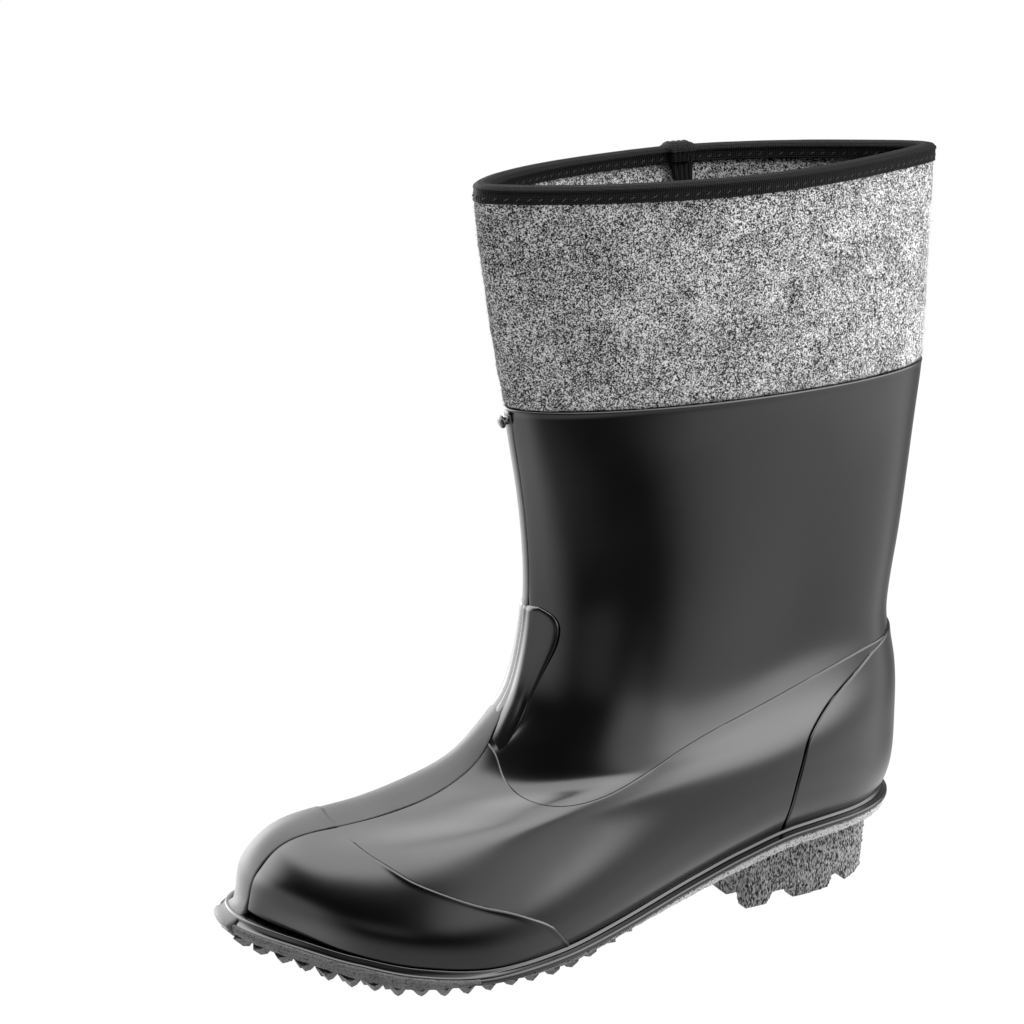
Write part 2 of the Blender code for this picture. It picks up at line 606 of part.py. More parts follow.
def make_sole(skin):
    plan = Plan(skin, SOLE_STEPS)
    count = 2 * SOLE_STEPS
    x = plan.points[:, 0]
    toe = np.clip((x - FLANGE_TOE_FROM) / (TOE_TIP - FLANGE_TOE_FROM), 0.0, 1.0)
    flange = FLANGE_OUT + (FLANGE_OUT_TOE - FLANGE_OUT) * toe
    tall = FLANGE_TALL + (FLANGE_TALL_TOE - FLANGE_TALL) * toe
    inner = flange - PLATE_INSET - EDGE_TOOTH_WIDE
    crown = EDGE_CROWN * np.clip((x - CROWN_FROM) / (CROWN_FULL - CROWN_FROM), 0.0, 1.0)
    rings = [
        plan.raised(0.0, "feather", -GAP),
        plan.raised(flange - 0.3, "feather", -GAP - FLANGE_SLOPE),
        plan.raised(flange, "feather", -GAP - tall),
        plan.raised(flange - LIP_INSET, "feather", -GAP - tall - LIP_DROP),
        plan.raised(flange - PLATE_INSET, "under", crown),
        plan.raised(inner, "under"),
    ]
    points = [p for ring in rings for p in ring]
    faces = ladder(0, count)
    for i in range(4):
        faces += band(i * count, (i + 1) * count, count)

    def frustum(corners, tips):
        """A tooth on a cell of the underside; its foot is the cell's own outline."""
        start = len(points)
        points.extend(tips)
        faces.append(tuple(range(start, start + 4)))
        for k in range(4):
            m = (k + 1) % 4
            faces.append((corners[k], corners[m], start + m, start + k))

    def tooth(corners, share, drop):
        cell = np.array([points[i] for i in corners])
        tips = cell.mean(axis=0) + (cell - cell.mean(axis=0)) * share
        tips[:, 2] = sole_height("tips", tips[:, 0]) + drop
        frustum(corners, tips)

    edge, bed = 4 * count, 5 * count
    for k in range(count):
        m = (k + 1) % count
        corners = (edge + k, edge + m, bed + m, bed + k)
        if min(k, count - 1 - k) < TREAD_STEPS:
            tooth(corners, EDGE_TOOTH_TIP, EDGE_TOOTH_SHORT)
        else:
            faces.append(corners)

    across = np.linspace(0.0, 1.0, LUG_COLUMNS + 1)[1:-1]
    rows = {}
    for k in range(1, SOLE_STEPS):
        left, right = np.array(points[bed + k]), np.array(points[bed + count - k])
        row = [bed + k]
        for q in across:
            p = left + (right - left) * q
            p[2] = sole_height("under", p[0])
            row.append(len(points))
            points.append(p)
        rows[k] = row + [bed + count - k]
    tip, back = bed, bed + SOLE_STEPS
    faces += [(tip, rows[1][i], rows[1][i + 1]) for i in range(LUG_COLUMNS)]
    faces += [(back, rows[SOLE_STEPS - 1][i + 1], rows[SOLE_STEPS - 1][i]) for i in range(LUG_COLUMNS)]
    for k in range(1, SOLE_STEPS - 1):
        for i in range(LUG_COLUMNS):
            corners = (rows[k][i], rows[k + 1][i], rows[k + 1][i + 1], rows[k][i + 1])
            if 1 < k < TREAD_STEPS - 1:
                tooth(corners, LUG_TIP, 0.0)
            else:
                faces.append(corners)
    solid("outsole", np.array(points), faces, "tread_rubber")

    bed_plan = plan.moved(-WALL - 0.8)
    low = sole_height("feather", bed_plan[:, 0]) + GAP
    under = np.column_stack([bed_plan, low])
    over = np.column_stack([bed_plan, low + INSOLE])
    faces = ladder(0, count) + ladder(count, count) + band(0, count, count)
    solid("insole", np.concatenate([under, over]), faces, "insole_felt")
    return plan


def cutter(name, sections, cutters):
    """Prism between two four-sided sections."""
    points = np.array([p for section in sections for p in section], float)
    faces = [(0, 1, 2, 3), (4, 5, 6, 7)] + band(0, 4, 4)
    piece = solid(name, points, faces, None, cutters)
    piece.hide_render = True
    piece.display_type = "WIRE"
    return piece


def make_heel(plan):
    outline = plan.moved(FLANGE_OUT - PLATE_INSET - HEEL_INSET)
    behind = [k for k in range(len(outline)) if outline[k, 0] < HEEL_FRONT - 2.0]
    first, last = behind[0], behind[-1]

    def corner(a, b):
        """Where the outline crosses the heel breast."""
        t = (HEEL_FRONT - outline[a, 0]) / (outline[b, 0] - outline[a, 0])
        return outline[a] + (outline[b] - outline[a]) * t

    flat = np.array([corner(first - 1, first)] + [outline[k] for k in behind] + [corner(last, last + 1)])
    middle = np.array([HEEL_FRONT, flat[:, 1].mean()])
    toward = flat - np.array([40.0, middle[1]])
    toward[:, 0] = np.minimum(toward[:, 0], 0.0)
    foot = flat - toward / np.linalg.norm(toward, axis=1, keepdims=True) * HEEL_TAPER
    points = np.concatenate([np.column_stack([foot, np.zeros(len(foot))]),
                             np.column_stack([flat, sole_height("under", flat[:, 0]) - GAP])])
    count = len(flat)
    faces = [tuple(range(count)), tuple(range(count, 2 * count))] + band(0, count, count)
    heel = solid("heel", points, faces, "tread_rubber")

    cutters = bpy.data.collections.new("cutters")
    bpy.context.scene.collection.children.link(cutters)
    reach = 60.0
    tools = []
    for name, g in HEEL_GROOVES.items():
        slack = (g.front - g.back - g.roof) / 2
        section = [(g.front + slack * 0.2, -1.0), (g.front - slack, g.depth), (g.back + slack, g.depth),
                   (g.back - slack * 0.2, -1.0)]
        tools.append(cutter("groove_" + name, [[(x, y, z) for x, z in section] for y in (-reach, reach)],
                            cutters))
    wide = BREAST_GROOVE_WIDE / 2
    section = [(-wide, -1.0), (-wide * 0.7, BREAST_GROOVE_DEEP - 0.6), (wide * 0.7, BREAST_GROOVE_DEEP - 0.6),
               (wide, -1.0)]
    for name, at in (("outer", flat[0, 1] - BREAST_GROOVE_IN), ("inner", flat[-1, 1] + BREAST_GROOVE_IN)):
        tools.append(cutter("groove_breast_" + name, [[(x, y + at, z) for y, z in section]
                                                      for x in (BREAST_GROOVE_BACK, HEEL_FRONT + 5.0)], cutters))
    for tool in tools:
        cut = heel.modifiers.new(tool.name, "BOOLEAN")
        cut.operation = "DIFFERENCE"
        cut.solver = "EXACT"
        cut.object = tool


def main():
    for piece in list(bpy.data.objects):
        bpy.data.objects.remove(piece)
    skin = Skin()
    make_upper(skin)
    make_overlays(skin)
    make_cuff(skin)
    make_nub(skin)
    plan = make_sole(skin)
    make_heel(plan)


main()
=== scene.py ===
"""Looks of the rubber boot with a felt cuff, left foot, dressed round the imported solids.

Sizes are in millimetres in the boot's own frame, as in the part: x runs from heel to toe, y to the
outside of the foot, z up from the floor. place() turns them into the frame's metres.
A place on the boot's skin is (share, level): share 0 is the front centre line, 1 the back centre
line, positive on the outside of the foot; levels count the rings from the feather line up.
"""
from collections import namedtuple

import bmesh
import bpy
import numpy as np
from mathutils import Matrix, Vector, kdtree


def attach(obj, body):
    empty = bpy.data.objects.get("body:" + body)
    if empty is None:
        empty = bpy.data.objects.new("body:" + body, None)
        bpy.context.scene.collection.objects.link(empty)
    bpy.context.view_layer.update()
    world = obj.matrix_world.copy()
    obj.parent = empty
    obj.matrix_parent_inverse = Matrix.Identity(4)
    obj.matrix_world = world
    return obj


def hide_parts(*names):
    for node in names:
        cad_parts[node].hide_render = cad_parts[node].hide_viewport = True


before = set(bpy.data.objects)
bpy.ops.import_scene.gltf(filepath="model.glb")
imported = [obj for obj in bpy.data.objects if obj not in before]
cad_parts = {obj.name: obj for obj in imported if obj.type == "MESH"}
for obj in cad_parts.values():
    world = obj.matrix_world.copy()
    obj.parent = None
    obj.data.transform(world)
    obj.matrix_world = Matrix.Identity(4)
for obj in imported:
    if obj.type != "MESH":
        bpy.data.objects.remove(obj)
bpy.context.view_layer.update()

MM = 0.001


def table(row, *values):
    """Rows of a table under their named columns."""
    return tuple(row(*columns) for columns in values)


# Middle of the boot's length and width, which is the frame's origin
CENTRE_X = 140.76
CENTRE_Y = -1.84

# One row per level: ends of the ring on the centre line, half widths at four stations,
# how far the inner side is drawn in at the arch, share of the sole's dip, sideways lean, and where
# the front is ridged: height of the ridge and share by which the inner side is slimmer
Level = namedtuple("Level", "front_x front_z back_x back_z heel waist ball toe arch drop lean crest slim",
                   defaults=(0.0, 0.0))
LEVELS = {
    "feather": Level(291.0, 31.6, 3.0, 38.3, 31.5, 36.4, 51.5, 21.5, 6.0, 1.0, 0.0),
    "bulge": Level(289.6, 41.5, -0.3, 47.0, 34.6, 43.2, 53.0, 23.5, 5.0, 0.8, 0.0),
    "toe_wall": Level(286.8, 50.6, -1.5, 58.0, 37.0, 47.0, 48.4, 20.5, 2.0, 0.5, 0.0, 0.0, 0.15),
    "toe_top": Level(273.6, 59.6, -1.5, 72.0, 37.2, 47.4, 41.2, 16.0, 0.0, 0.25, 0.0, 4.0, 0.22),
    "cap": Level(249.5, 61.0, -1.0, 86.0, 36.2, 45.8, 40.0, 11.0, 0.0, 0.1, 0.0, 7.2, 0.32),
    "vamp_1": Level(227.5, 62.3, 0.2, 98.0, 34.2, 42.4, 39.2, 10.2, 0.0, 0.0, 0.0, 9.4, 0.36),
    "vamp_2": Level(204.2, 69.0, 2.2, 107.0, 32.3, 39.0, 38.4, 12.4, 0.0, 0.0, 0.0, 11.2, 0.36),
    "instep": Level(188.7, 84.8, 3.5, 115.0, 30.8, 35.8, 36.5, 14.4, 0.0, 0.0, 0.0, 8.0, 0.25),
    "throat": Level(178.1, 103.5, 3.8, 124.0, 29.5, 33.6, 34.4, 13.2, 0.0, 0.0, 0.0, 2.0, 0.10),
    "ankle": Level(172.0, 129.0, 1.5, 139.0, 28.4, 32.6, 32.8, 11.5, 0.0, 0.0, 0.0),
    "shin_1": Level(170.5, 153.0, -2.0, 156.0, 27.2, 32.4, 31.6, 10.5, 0.0, 0.0, 0.0),
    "shin_2": Level(172.9, 183.0, -6.5, 184.0, 25.4, 32.0, 30.4, 10.5, 0.0, 0.0, 0.0),
    "shin_3": Level(176.6, 206.0, -10.5, 206.0, 22.8, 31.4, 28.9, 10.5, 0.0, 0.0, 0.0),
    "rim": Level(179.4, 223.0, -13.4, 223.0, 20.5, 30.5, 27.5, 10.5, 0.0, 0.0, 0.0),
    "felt_1": Level(184.0, 248.0, -14.8, 248.0, 19.5, 30.5, 27.5, 10.0, 0.0, 0.0, -1.0),
    "felt_2": Level(188.8, 278.0, -16.2, 278.0, 18.0, 33.0, 29.5, 10.0, 0.0, 0.0, -2.4),
    "felt_3": Level(191.5, 302.0, -17.0, 302.0, 17.0, 35.0, 32.0, 10.5, 0.0, 0.0, -4.2),
    "collar": Level(190.5, 312.5, -17.0, 312.5, 16.5, 35.0, 32.0, 10.5, 0.0, 0.0, -5.0),
    "above": Level(190.5, 323.0, -17.0, 323.0, 16.5, 35.0, 32.0, 10.5, 0.0, 0.0, -5.0),
}
STATIONS = (0.0, 0.22, 0.42, 0.65, 0.88, 1.0)
ARCH_AT = 0.42
ARCH_REACH = 0.16
CREST_WIDE = 14.0
SLIM_AT = 0.80
SLIM_REACH = 0.16
SWING = -13.0
SWING_FROM = 150.0
TOE_TIP = 297.0
COLLAR_LEVEL_TALL = 10.5

# Sole along the foot: feather line, underside of the plate, tips of the teeth
SoleRow = namedtuple("SoleRow", "x feather under tips")
SOLE = table(
    SoleRow,
    (-5.0, 38.2, 31.4, 31.4), (40.0, 38.5, 30.4, 30.4), (62.0, 37.4, 29.2, 29.2),
    (90.0, 31.9, 23.8, 23.8), (112.0, 26.6, 18.6, 18.6), (155.0, 17.7, 9.8, 6.6),
    (183.0, 13.6, 5.4, 0.0), (210.0, 12.1, 5.0, 0.0), (240.0, 15.4, 5.2, 0.0), (261.0, 20.4, 9.4, 4.2),
    (279.0, 26.5, 15.4, 10.0), (300.0, 32.0, 21.2, 15.8),
)
SOLE_CELLS = 36
SOLE_GAP = 0.3
FLANGE_OUT = 4.6
FLANGE_OUT_TOE = 9.5
FLANGE_TOE_FROM = 258.0
FLANGE_TALL = 3.8
FLANGE_TALL_TOE = 5.2
PLATE_INSET = 1.3
EDGE_TOOTH_WIDE = 10.9
EDGE_TOOTH_SHORT = 1.8
EDGE_TOOTH_TIP = 0.30
EDGE_CROWN = 1.8
CROWN_FROM = 90.0
CROWN_FULL = 150.0
LUG_TIP = 0.55
TREAD_CELLS = 19
LUG_COLUMNS = 4
LUG_ROOT = 0.4
HEEL_VOXEL = 0.75
INSOLE_INSET = 3.0
INSOLE_THICK = 3.0

# Edges of the overlays on the skin
EdgeRow = namedtuple("EdgeRow", "share level")
CAP_EDGE = table(
    EdgeRow,
    (0.000, 3.65), (0.045, 3.46), (0.090, 3.18), (0.127, 2.90), (0.165, 2.62), (0.203, 2.32),
    (0.250, 2.03), (0.293, 1.78), (0.333, 1.55), (0.366, 1.25), (0.393, 0.86), (0.421, 0.12),
)
GALOSH_EDGE = table(
    EdgeRow,
    (0.000, 6.76), (0.050, 6.63), (0.092, 6.22), (0.160, 5.58), (0.232, 4.90), (0.300, 4.48),
    (0.350, 4.68), (0.372, 5.28), (0.400, 5.92), (0.470, 6.26), (0.575, 6.44), (0.690, 6.72),
    (0.787, 6.92), (0.866, 6.78),
)
GALOSH_TURN = 5 / 13
COUNTER_EDGE = table(
    EdgeRow,
    (0.754, 0.00), (0.730, 1.50), (0.720, 2.35), (0.712, 3.15), (0.703, 4.00), (0.713, 4.72),
    (0.737, 5.45), (0.771, 6.00), (0.808, 6.45), (0.860, 6.67), (0.890, 6.72),
)
COUNTER_TOP = 6.72
FOOT = 0.06

# Half widths, in millimetres along the ring, of the strip and the pad at the front
WidthRow = namedtuple("WidthRow", "level inner outer")
PadRow = namedtuple("PadRow", "level half sag")
STRIP_WIDTHS = table(
    WidthRow,
    (0.0, 9.0, 5.0), (1.2, 12.5, 6.2), (2.0, 14.0, 7.5), (2.8, 13.0, 9.4), (3.5, 12.5, 13.2),
    (4.3, 12.0, 14.8), (5.0, 11.5, 14.2), (5.7, 11.0, 11.0), (6.5, 9.5, 8.4), (7.1, 8.0, 5.5),
    (7.8, 7.0, 2.6), (8.6, 6.5, 1.8), (9.5, 6.5, 1.8), (12.5, 6.0, 2.4),
)
PAD_ROWS = table(
    PadRow,
    (6.90, 15.0, 0.32), (7.15, 13.6, 0.18), (7.50, 12.5, 0.04), (7.90, 11.3, 0.00), (8.22, 12.0, 0.00),
    (8.53, 13.7, 0.00), (8.82, 15.6, 0.00), (9.05, 16.3, 0.00), (9.25, 15.6, 0.00), (9.42, 12.4, 0.00),
    (9.53, 7.0, 0.00),
)
STRIP_TOP = 12.88
STRIP_LEVEL_TALL = 25.0

# How far each rubber face stands out from the skin
WALL = 2.2
UPPER_OUT = 0.55
CAP_OUT = 1.60
GALOSH_OUT = 1.30
COUNTER_OUT = 1.60
PAD_OUT = 1.25
HIDDEN = -0.4
BURIED = 0.1
CAP_BURIED = 0.3
CAP_ROUND = 0.7
GALOSH_ROUND = 0.75
COUNTER_ROUND = 0.8
PAD_ROUND = 2.4
STRIP_ROUND = 0.6
HeightRow = namedtuple("HeightRow", "level bed top")
STRIP_HEIGHTS = table(
    HeightRow,
    (0.0, 1.56, 2.00), (3.63, 1.56, 2.00), (3.68, 1.26, 1.62), (6.60, 1.26, 1.62), (6.95, 1.20, 1.60),
    (9.35, 1.20, 1.60), (9.75, 0.50, 0.90), (12.9, 0.50, 0.80),
)

# Felt cuff and the tape folded over its edge
RIM = 13.0
FELT = 4.6
FELT_TUCK_OUT = -2.5
FELT_TUCK_IN = -5.9
TAPE_FOOT = 16.22
TAPE_OUT = 1.2
TAPE_IN = -5.8
WEAVE_LEVEL = 16.5
JOIN_SHARE = -0.53
JOIN_WIDE = 13.0
JOIN_TAIL_WIDE = 8.5
JOIN_TAIL_DROP = 5.0

# Button at the front of the rubber rim
BUTTON_LEVEL = 12.74

# Camera of the photograph: turned from the boot's side and tipped down
PHOTO_SIZE = 1024
FOCAL_PIXELS = 2800.0
SENSOR = 36.0
YAW = np.radians(27.5)
PITCH = np.radians(17.2)
AIM = (177.5, 0.0, 180.5)
STAND_OFF = 1104.0


def natural(xs, ys, at):
    """Natural cubic spline through (xs, ys); ys may have columns."""
    xs, ys, at = (np.asarray(a, float) for a in (xs, ys, at))
    step = np.diff(xs)
    system = np.eye(len(xs))
    bend = np.zeros_like(ys)
    for i in range(1, len(xs) - 1):
        system[i, i - 1:i + 2] = step[i - 1], 2 * (step[i - 1] + step[i]), step[i]
        bend[i] = 6 * ((ys[i + 1] - ys[i]) / step[i] - (ys[i] - ys[i - 1]) / step[i - 1])
    bend = np.linalg.solve(system, bend)
    i = np.clip(np.searchsorted(xs, at) - 1, 0, len(xs) - 2)
    d, h = at - xs[i], step[i]
    if ys.ndim == 2:
        d, h = d[..., None], h[..., None]
    slope = (ys[i + 1] - ys[i]) / h - h * (2 * bend[i] + bend[i + 1]) / 6
    return ys[i] + d * (slope + d * (bend[i] / 2 + d * (bend[i + 1] - bend[i]) / (6 * h)))


def level_run(xs, ys, at):
    """Smooth curve through (xs, ys) that keeps level runs level and never overshoots."""
    xs, ys, at = (np.asarray(a, float) for a in (xs, ys, at))
    step = np.diff(xs)
    rise = np.diff(ys) / step
    slope = np.zeros(len(xs))
    for i in range(1, len(xs) - 1):
        if rise[i - 1] * rise[i] > 0:
            slope[i] = 2 * rise[i - 1] * rise[i] / (rise[i - 1] + rise[i])
    slope[0], slope[-1] = rise[0], rise[-1]
    i = np.clip(np.searchsorted(xs, at) - 1, 0, len(xs) - 2)
    h = step[i]
    t = np.clip((at - xs[i]) / h, 0.0, 1.0)
    return ((1 + 2 * t) * (1 - t) ** 2 * ys[i] + t * (1 - t) ** 2 * h * slope[i]
            + t * t * (3 - 2 * t) * ys[i + 1] + t * t * (t - 1) * h * slope[i + 1])


def unit(vectors):
    """Vectors brought to length 1."""
    return vectors / np.linalg.norm(vectors, axis=-1, keepdims=True)


def ramped(value, low, high):
    """0 below low, 1 above high, straight between."""
    return np.clip((value - low) / (high - low), 0.0, 1.0)


def eased(value, low, high):
    """0 below low, 1 above high, eased between."""
    t = ramped(value, low, high)
    return t * t * (3 - 2 * t)


def sole_height(column, x):
    """Height of one line of the sole at x."""
    return level_run([row.x for row in SOLE], [getattr(row, column) for row in SOLE], x)


def run_length(line):
    """Millimetres along a line at each of its points."""
    return np.concatenate([[0.0], np.cumsum(np.linalg.norm(np.diff(line, axis=0), axis=1))])


def spaced(line, count):
    """A line drawn again with points evenly spaced along it."""
    length = run_length(line)
    even = np.linspace(0.0, length[-1], count)
    return np.stack([np.interp(even, length, line[:, k]) for k in range(3)], 1)


def level_ring(row, samples):
    """One ring of the skin at even shares of its length on each side."""
    s = np.linspace(0.0, 1.0, 641)
    half = natural(STATIONS, (0.0, row.heel, row.waist, row.ball, row.toe, 0.0), s).clip(0.0)
    drawn = half - row.arch * np.exp(-((s - ARCH_AT) / ARCH_REACH) ** 2) * np.sin(np.pi * s)
    drawn = drawn * (1 - row.slim * np.exp(-((s - SLIM_AT) / SLIM_REACH) ** 2))
    x = row.back_x + (row.front_x - row.back_x) * (1 - np.cos(np.pi * s)) / 2
    run = (x - row.back_x) / (row.front_x - row.back_x)
    heel_z, toe_z = sole_height("feather", LEVELS["feather"].back_x), sole_height("feather", TOE_TIP)
    dip = sole_height("feather", x) - (heel_z + (toe_z - heel_z) * x / TOE_TIP)
    z = row.back_z + (row.front_z - row.back_z) * run + row.drop * dip
    z = z + row.crest * np.exp(-(half / CREST_WIDE) ** 2) * (s > 0.5)
    turn = np.maximum(x - SWING_FROM, 0.0) / (TOE_TIP - SWING_FROM)
    middle = SWING * turn ** 2 + row.lean * np.sin(np.pi * s)
    outer, inner = (spaced(np.stack([x, y, z], 1)[::-1], samples + 1)
                    for y in (middle + half, middle - drawn.clip(0.0)))
    return np.concatenate([inner[:0:-1], outer])


class Skin:
    """The outer face of the upper and cuff as a fine table of points and normals."""

    SAMPLES = 480
    FINE = 20

    def __init__(self):
        rows = np.array(list(LEVELS.values()))
        self.levels = np.linspace(0, len(rows) - 1, (len(rows) - 1) * self.FINE + 1)
        fine = natural(np.arange(len(rows)), rows, self.levels)
        self.points = np.array([level_ring(Level(*row), self.SAMPLES) for row in fine])
        ring = self.points[:, :-1]
        along = np.roll(ring, -1, 1) - np.roll(ring, 1, 1)
        along = np.concatenate([along, along[:, :1]], 1)
        self.normals = unit(np.cross(along, np.gradient(self.points, axis=0)))
        self.lengths = np.linalg.norm(np.diff(self.points, axis=1), axis=2).sum(1) / 2

    def read(self, sheet, share, level):
        share = (np.asarray(share, float) + 1) % 2 - 1
        a, b = (share + 1) * self.SAMPLES, np.asarray(level, float) * self.FINE
        i = np.clip(a.astype(int), 0, sheet.shape[1] - 2)
        j = np.clip(b.astype(int), 0, sheet.shape[0] - 2)
        p, q = (a - i)[..., None], (b - j)[..., None]
        low = sheet[j, i] * (1 - p) + sheet[j, i + 1] * p
        high = sheet[j + 1, i] * (1 - p) + sheet[j + 1, i + 1] * p
        return low * (1 - q) + high * q

    def normal(self, share, level):
        return unit(self.read(self.normals, share, level))

    def at(self, share, level, out=0.0):
        """Points at places on the skin, moved outwards along the normal."""
        share, level = np.broadcast_arrays(np.asarray(share, float), np.asarray(level, float))
        out = np.broadcast_to(out, share.shape)[..., None]
        return self.read(self.points, share, level) + self.normal(share, level) * out

    def share_of(self, width, level):
        """Millimetres along a ring as a share of the half ring."""
        return width / np.interp(level, self.levels, self.lengths)


skin = Skin()


def edge_path(edge, along):
    """Share and level along an overlay's edge, from 0 at its first row to 1 at its last."""
    return np.moveaxis(natural(np.arange(len(edge)), np.array(edge), np.abs(along) * (len(edge) - 1)), -1, 0)


def counter_share(level):
    """Share of the ring where the heel counter begins at a level."""
    return natural([row.level for row in COUNTER_EDGE], [row.share for row in COUNTER_EDGE], level)


def strip_share(level, across):
    """Share of the ring across the front strip, from -1 at its inner edge to 1 at its outer edge."""
    widths = natural([row.level for row in STRIP_WIDTHS], np.array(STRIP_WIDTHS), level)
    return skin.share_of(np.where(across < 0, widths[..., 1], widths[..., 2]), level) * across


def strip_height(column, share, level):
    """Foot or top of the strip above the skin; it steps down where the toe cap ends under it."""
    edge = natural([row.share for row in CAP_EDGE], [row.level for row in CAP_EDGE], np.abs(share))
    heights = [getattr(row, column) for row in STRIP_HEIGHTS]
    return level_run([row.level for row in STRIP_HEIGHTS], heights, level + CAP_EDGE[0].level - edge)


# Small tools for meshes


def place(points):
    """Millimetres of the boot's frame to the metres of the part's frame."""
    return (np.asarray(points, float).reshape(-1, 3) - (CENTRE_X, CENTRE_Y, 0.0)) * MM


def both_sides(half):
    """Steps from 0 to 1 carried to the other side as -1 to 1."""
    return np.concatenate([-half[:0:-1], half])


def round_shares(per_side, crowding=0.0):
    """Shares right round a ring from the front, crowded towards toe and heel."""
    t = np.linspace(0.0, 1.0, per_side + 1)
    side = t - crowding * np.sin(2 * np.pi * t) / (2 * np.pi)
    return np.concatenate([side, -side[-2:0:-1]])


def quads(rows, columns, round_rows=False, round_columns=False):
    """Faces of a grid; a closed direction joins its last line to its first."""
    r = np.arange(rows if round_rows else rows - 1)[:, None]
    c = np.arange(columns if round_columns else columns - 1)
    s, d = (r + 1) % rows, (c + 1) % columns
    corners = (r * columns + c, r * columns + d, s * columns + d, s * columns + c)
    return np.stack(np.broadcast_arrays(*corners), -1).reshape(-1, 4)


def border(rows, columns):
    """Points round the edge of a grid, in the direction of its faces."""
    edge = list(range(columns))
    edge += [r * columns + columns - 1 for r in range(1, rows)]
    edge += [(rows - 1) * columns + c for c in range(columns - 2, -1, -1)]
    edge += [r * columns for r in range(rows - 2, 0, -1)]
    return np.array(edge)


def put(name, data):
    """New object in the scene."""
    thing = bpy.data.objects.new(name, data)
    bpy.context.scene.collection.objects.link(thing)
    return thing


def make_piece(name, points, faces, *finishes):
    """Smooth mesh object from millimetre points and faces."""
    mesh = bpy.data.meshes.new(name)
    mesh.from_pydata(place(points).tolist(), [], faces.tolist() if isinstance(faces, np.ndarray) else faces)
    mesh.polygons.foreach_set("use_smooth", np.ones(len(mesh.polygons), bool))
    for finish in finishes:
        mesh.materials.append(finish)
    return put(name, mesh)


def baked(thing, modifier, **options):
    """Mesh of an object with a modifier applied; the modifier is removed."""
    graph = bpy.context.evaluated_depsgraph_get()
    mesh = bpy.data.meshes.new_from_object(thing.evaluated_get(graph), depsgraph=graph, **options)
    thing.modifiers.remove(modifier)
    return mesh


def joined(shapes):
    """Points and faces of several shapes as one."""
    points, faces, first = [], [], 0
    for some, rings in shapes:
        points.append(some)
        faces += [[int(i) + first for i in ring] for ring in rings]
        first += len(some)
    return np.concatenate(points), faces


def turn_out(thing):
    """Faces of a closed mesh turned outwards."""
    work = bmesh.new()
    work.from_mesh(thing.data)
    bmesh.ops.recalc_face_normals(work, faces=work.faces)
    work.to_mesh(thing.data)
    work.free()


def wear(thing, slot, *nodes):
    """Puts a finished piece on the boot, in place of the solids it stands for."""
    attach(thing, "root")
    if nodes:
        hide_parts(*nodes)
    return thing


def slab_shape(top, back):
    """Points and faces of a closed shape between two grids that share their outline's order."""
    rows, columns = top.shape[:2]
    face = quads(rows, columns)
    edge = border(rows, columns)
    far = np.roll(edge, -1)
    base = rows * columns
    walls = np.stack([far, edge, edge + base, far + base], 1)
    points = np.concatenate([top.reshape(-1, 3), back.reshape(-1, 3)])
    return points, np.concatenate([face, face[:, ::-1] + base, walls])


def slab(name, top, back, *finishes):
    """Closed piece between two grids."""
    return make_piece(name, *slab_shape(top, back), *finishes)


# Step along an edge for measuring the distance to it, and distances of the last rows from an edge
EDGE_PITCH = 0.2
EDGE_STEPS = np.array([3.4, 2.4, 1.7, 1.25, 0.9, 0.6, 0.36, 0.16, 0.0])


def edge_distance(points, *lines):
    """Millimetres from each point of a grid to the nearest of some lines."""
    edge = np.concatenate([spaced(line, int(run_length(line)[-1] / EDGE_PITCH) + 2) for line in lines])
    tree = kdtree.KDTree(len(edge))
    for i, p in enumerate(edge.tolist()):
        tree.insert(p, i)
    tree.balance()
    return np.array([tree.find(p)[2] for p in points.reshape(-1, 3).tolist()]).reshape(points.shape[:-1])


def rim_distance(points):
    """Millimetres from each point of a grid to its top and side edges."""
    return edge_distance(points, points[-1], points[:, 0], points[:, -1])


def rounded(distance, radius):
    """Height, as a share, of a quarter-round edge."""
    return np.sqrt(1 - (1 - np.clip(distance / radius, 0.0, 1.0)) ** 2)


def towards_edge(length, count):
    """Steps from 0 to 1 up columns of given lengths, the last ones at set distances from the edge."""
    reach = np.minimum(EDGE_STEPS[0], 0.6 * length)
    near = 1 - EDGE_STEPS[:, None] * (reach / EDGE_STEPS[0] / length)
    start = np.linspace(0.0, 1.0, count, endpoint=False)[:, None] * near[0]
    return np.vstack([start, near])


def between_edges(count, length):
    """Steps from 0 to 1, closer together at both ends, over a length in millimetres."""
    end = EDGE_STEPS[::-1] / length
    return np.concatenate([end, np.linspace(end[-1], 1 - end[-1], count + 2)[1:-1], 1 - end[::-1]])


def column_lengths(share, level):
    """Millimetres along each column of a grid of places."""
    return np.linalg.norm(np.diff(skin.at(share, level), axis=0), axis=2).sum(0)


def unevenness(points, size, seed, waves=12):
    """Smooth random field of about -1 to 1 with bumps of a given size."""
    pick = np.random.default_rng(seed)
    heading = unit(pick.normal(size=(waves, 3)))
    phase = pick.uniform(0.0, 2 * np.pi, waves)
    field = np.zeros(points.shape[:-1])
    for direction, start in zip(heading, phase):
        field += np.sin(points @ direction * 2 * np.pi / size + start)
    return field / np.sqrt(waves)


# Shader and geometry nodes


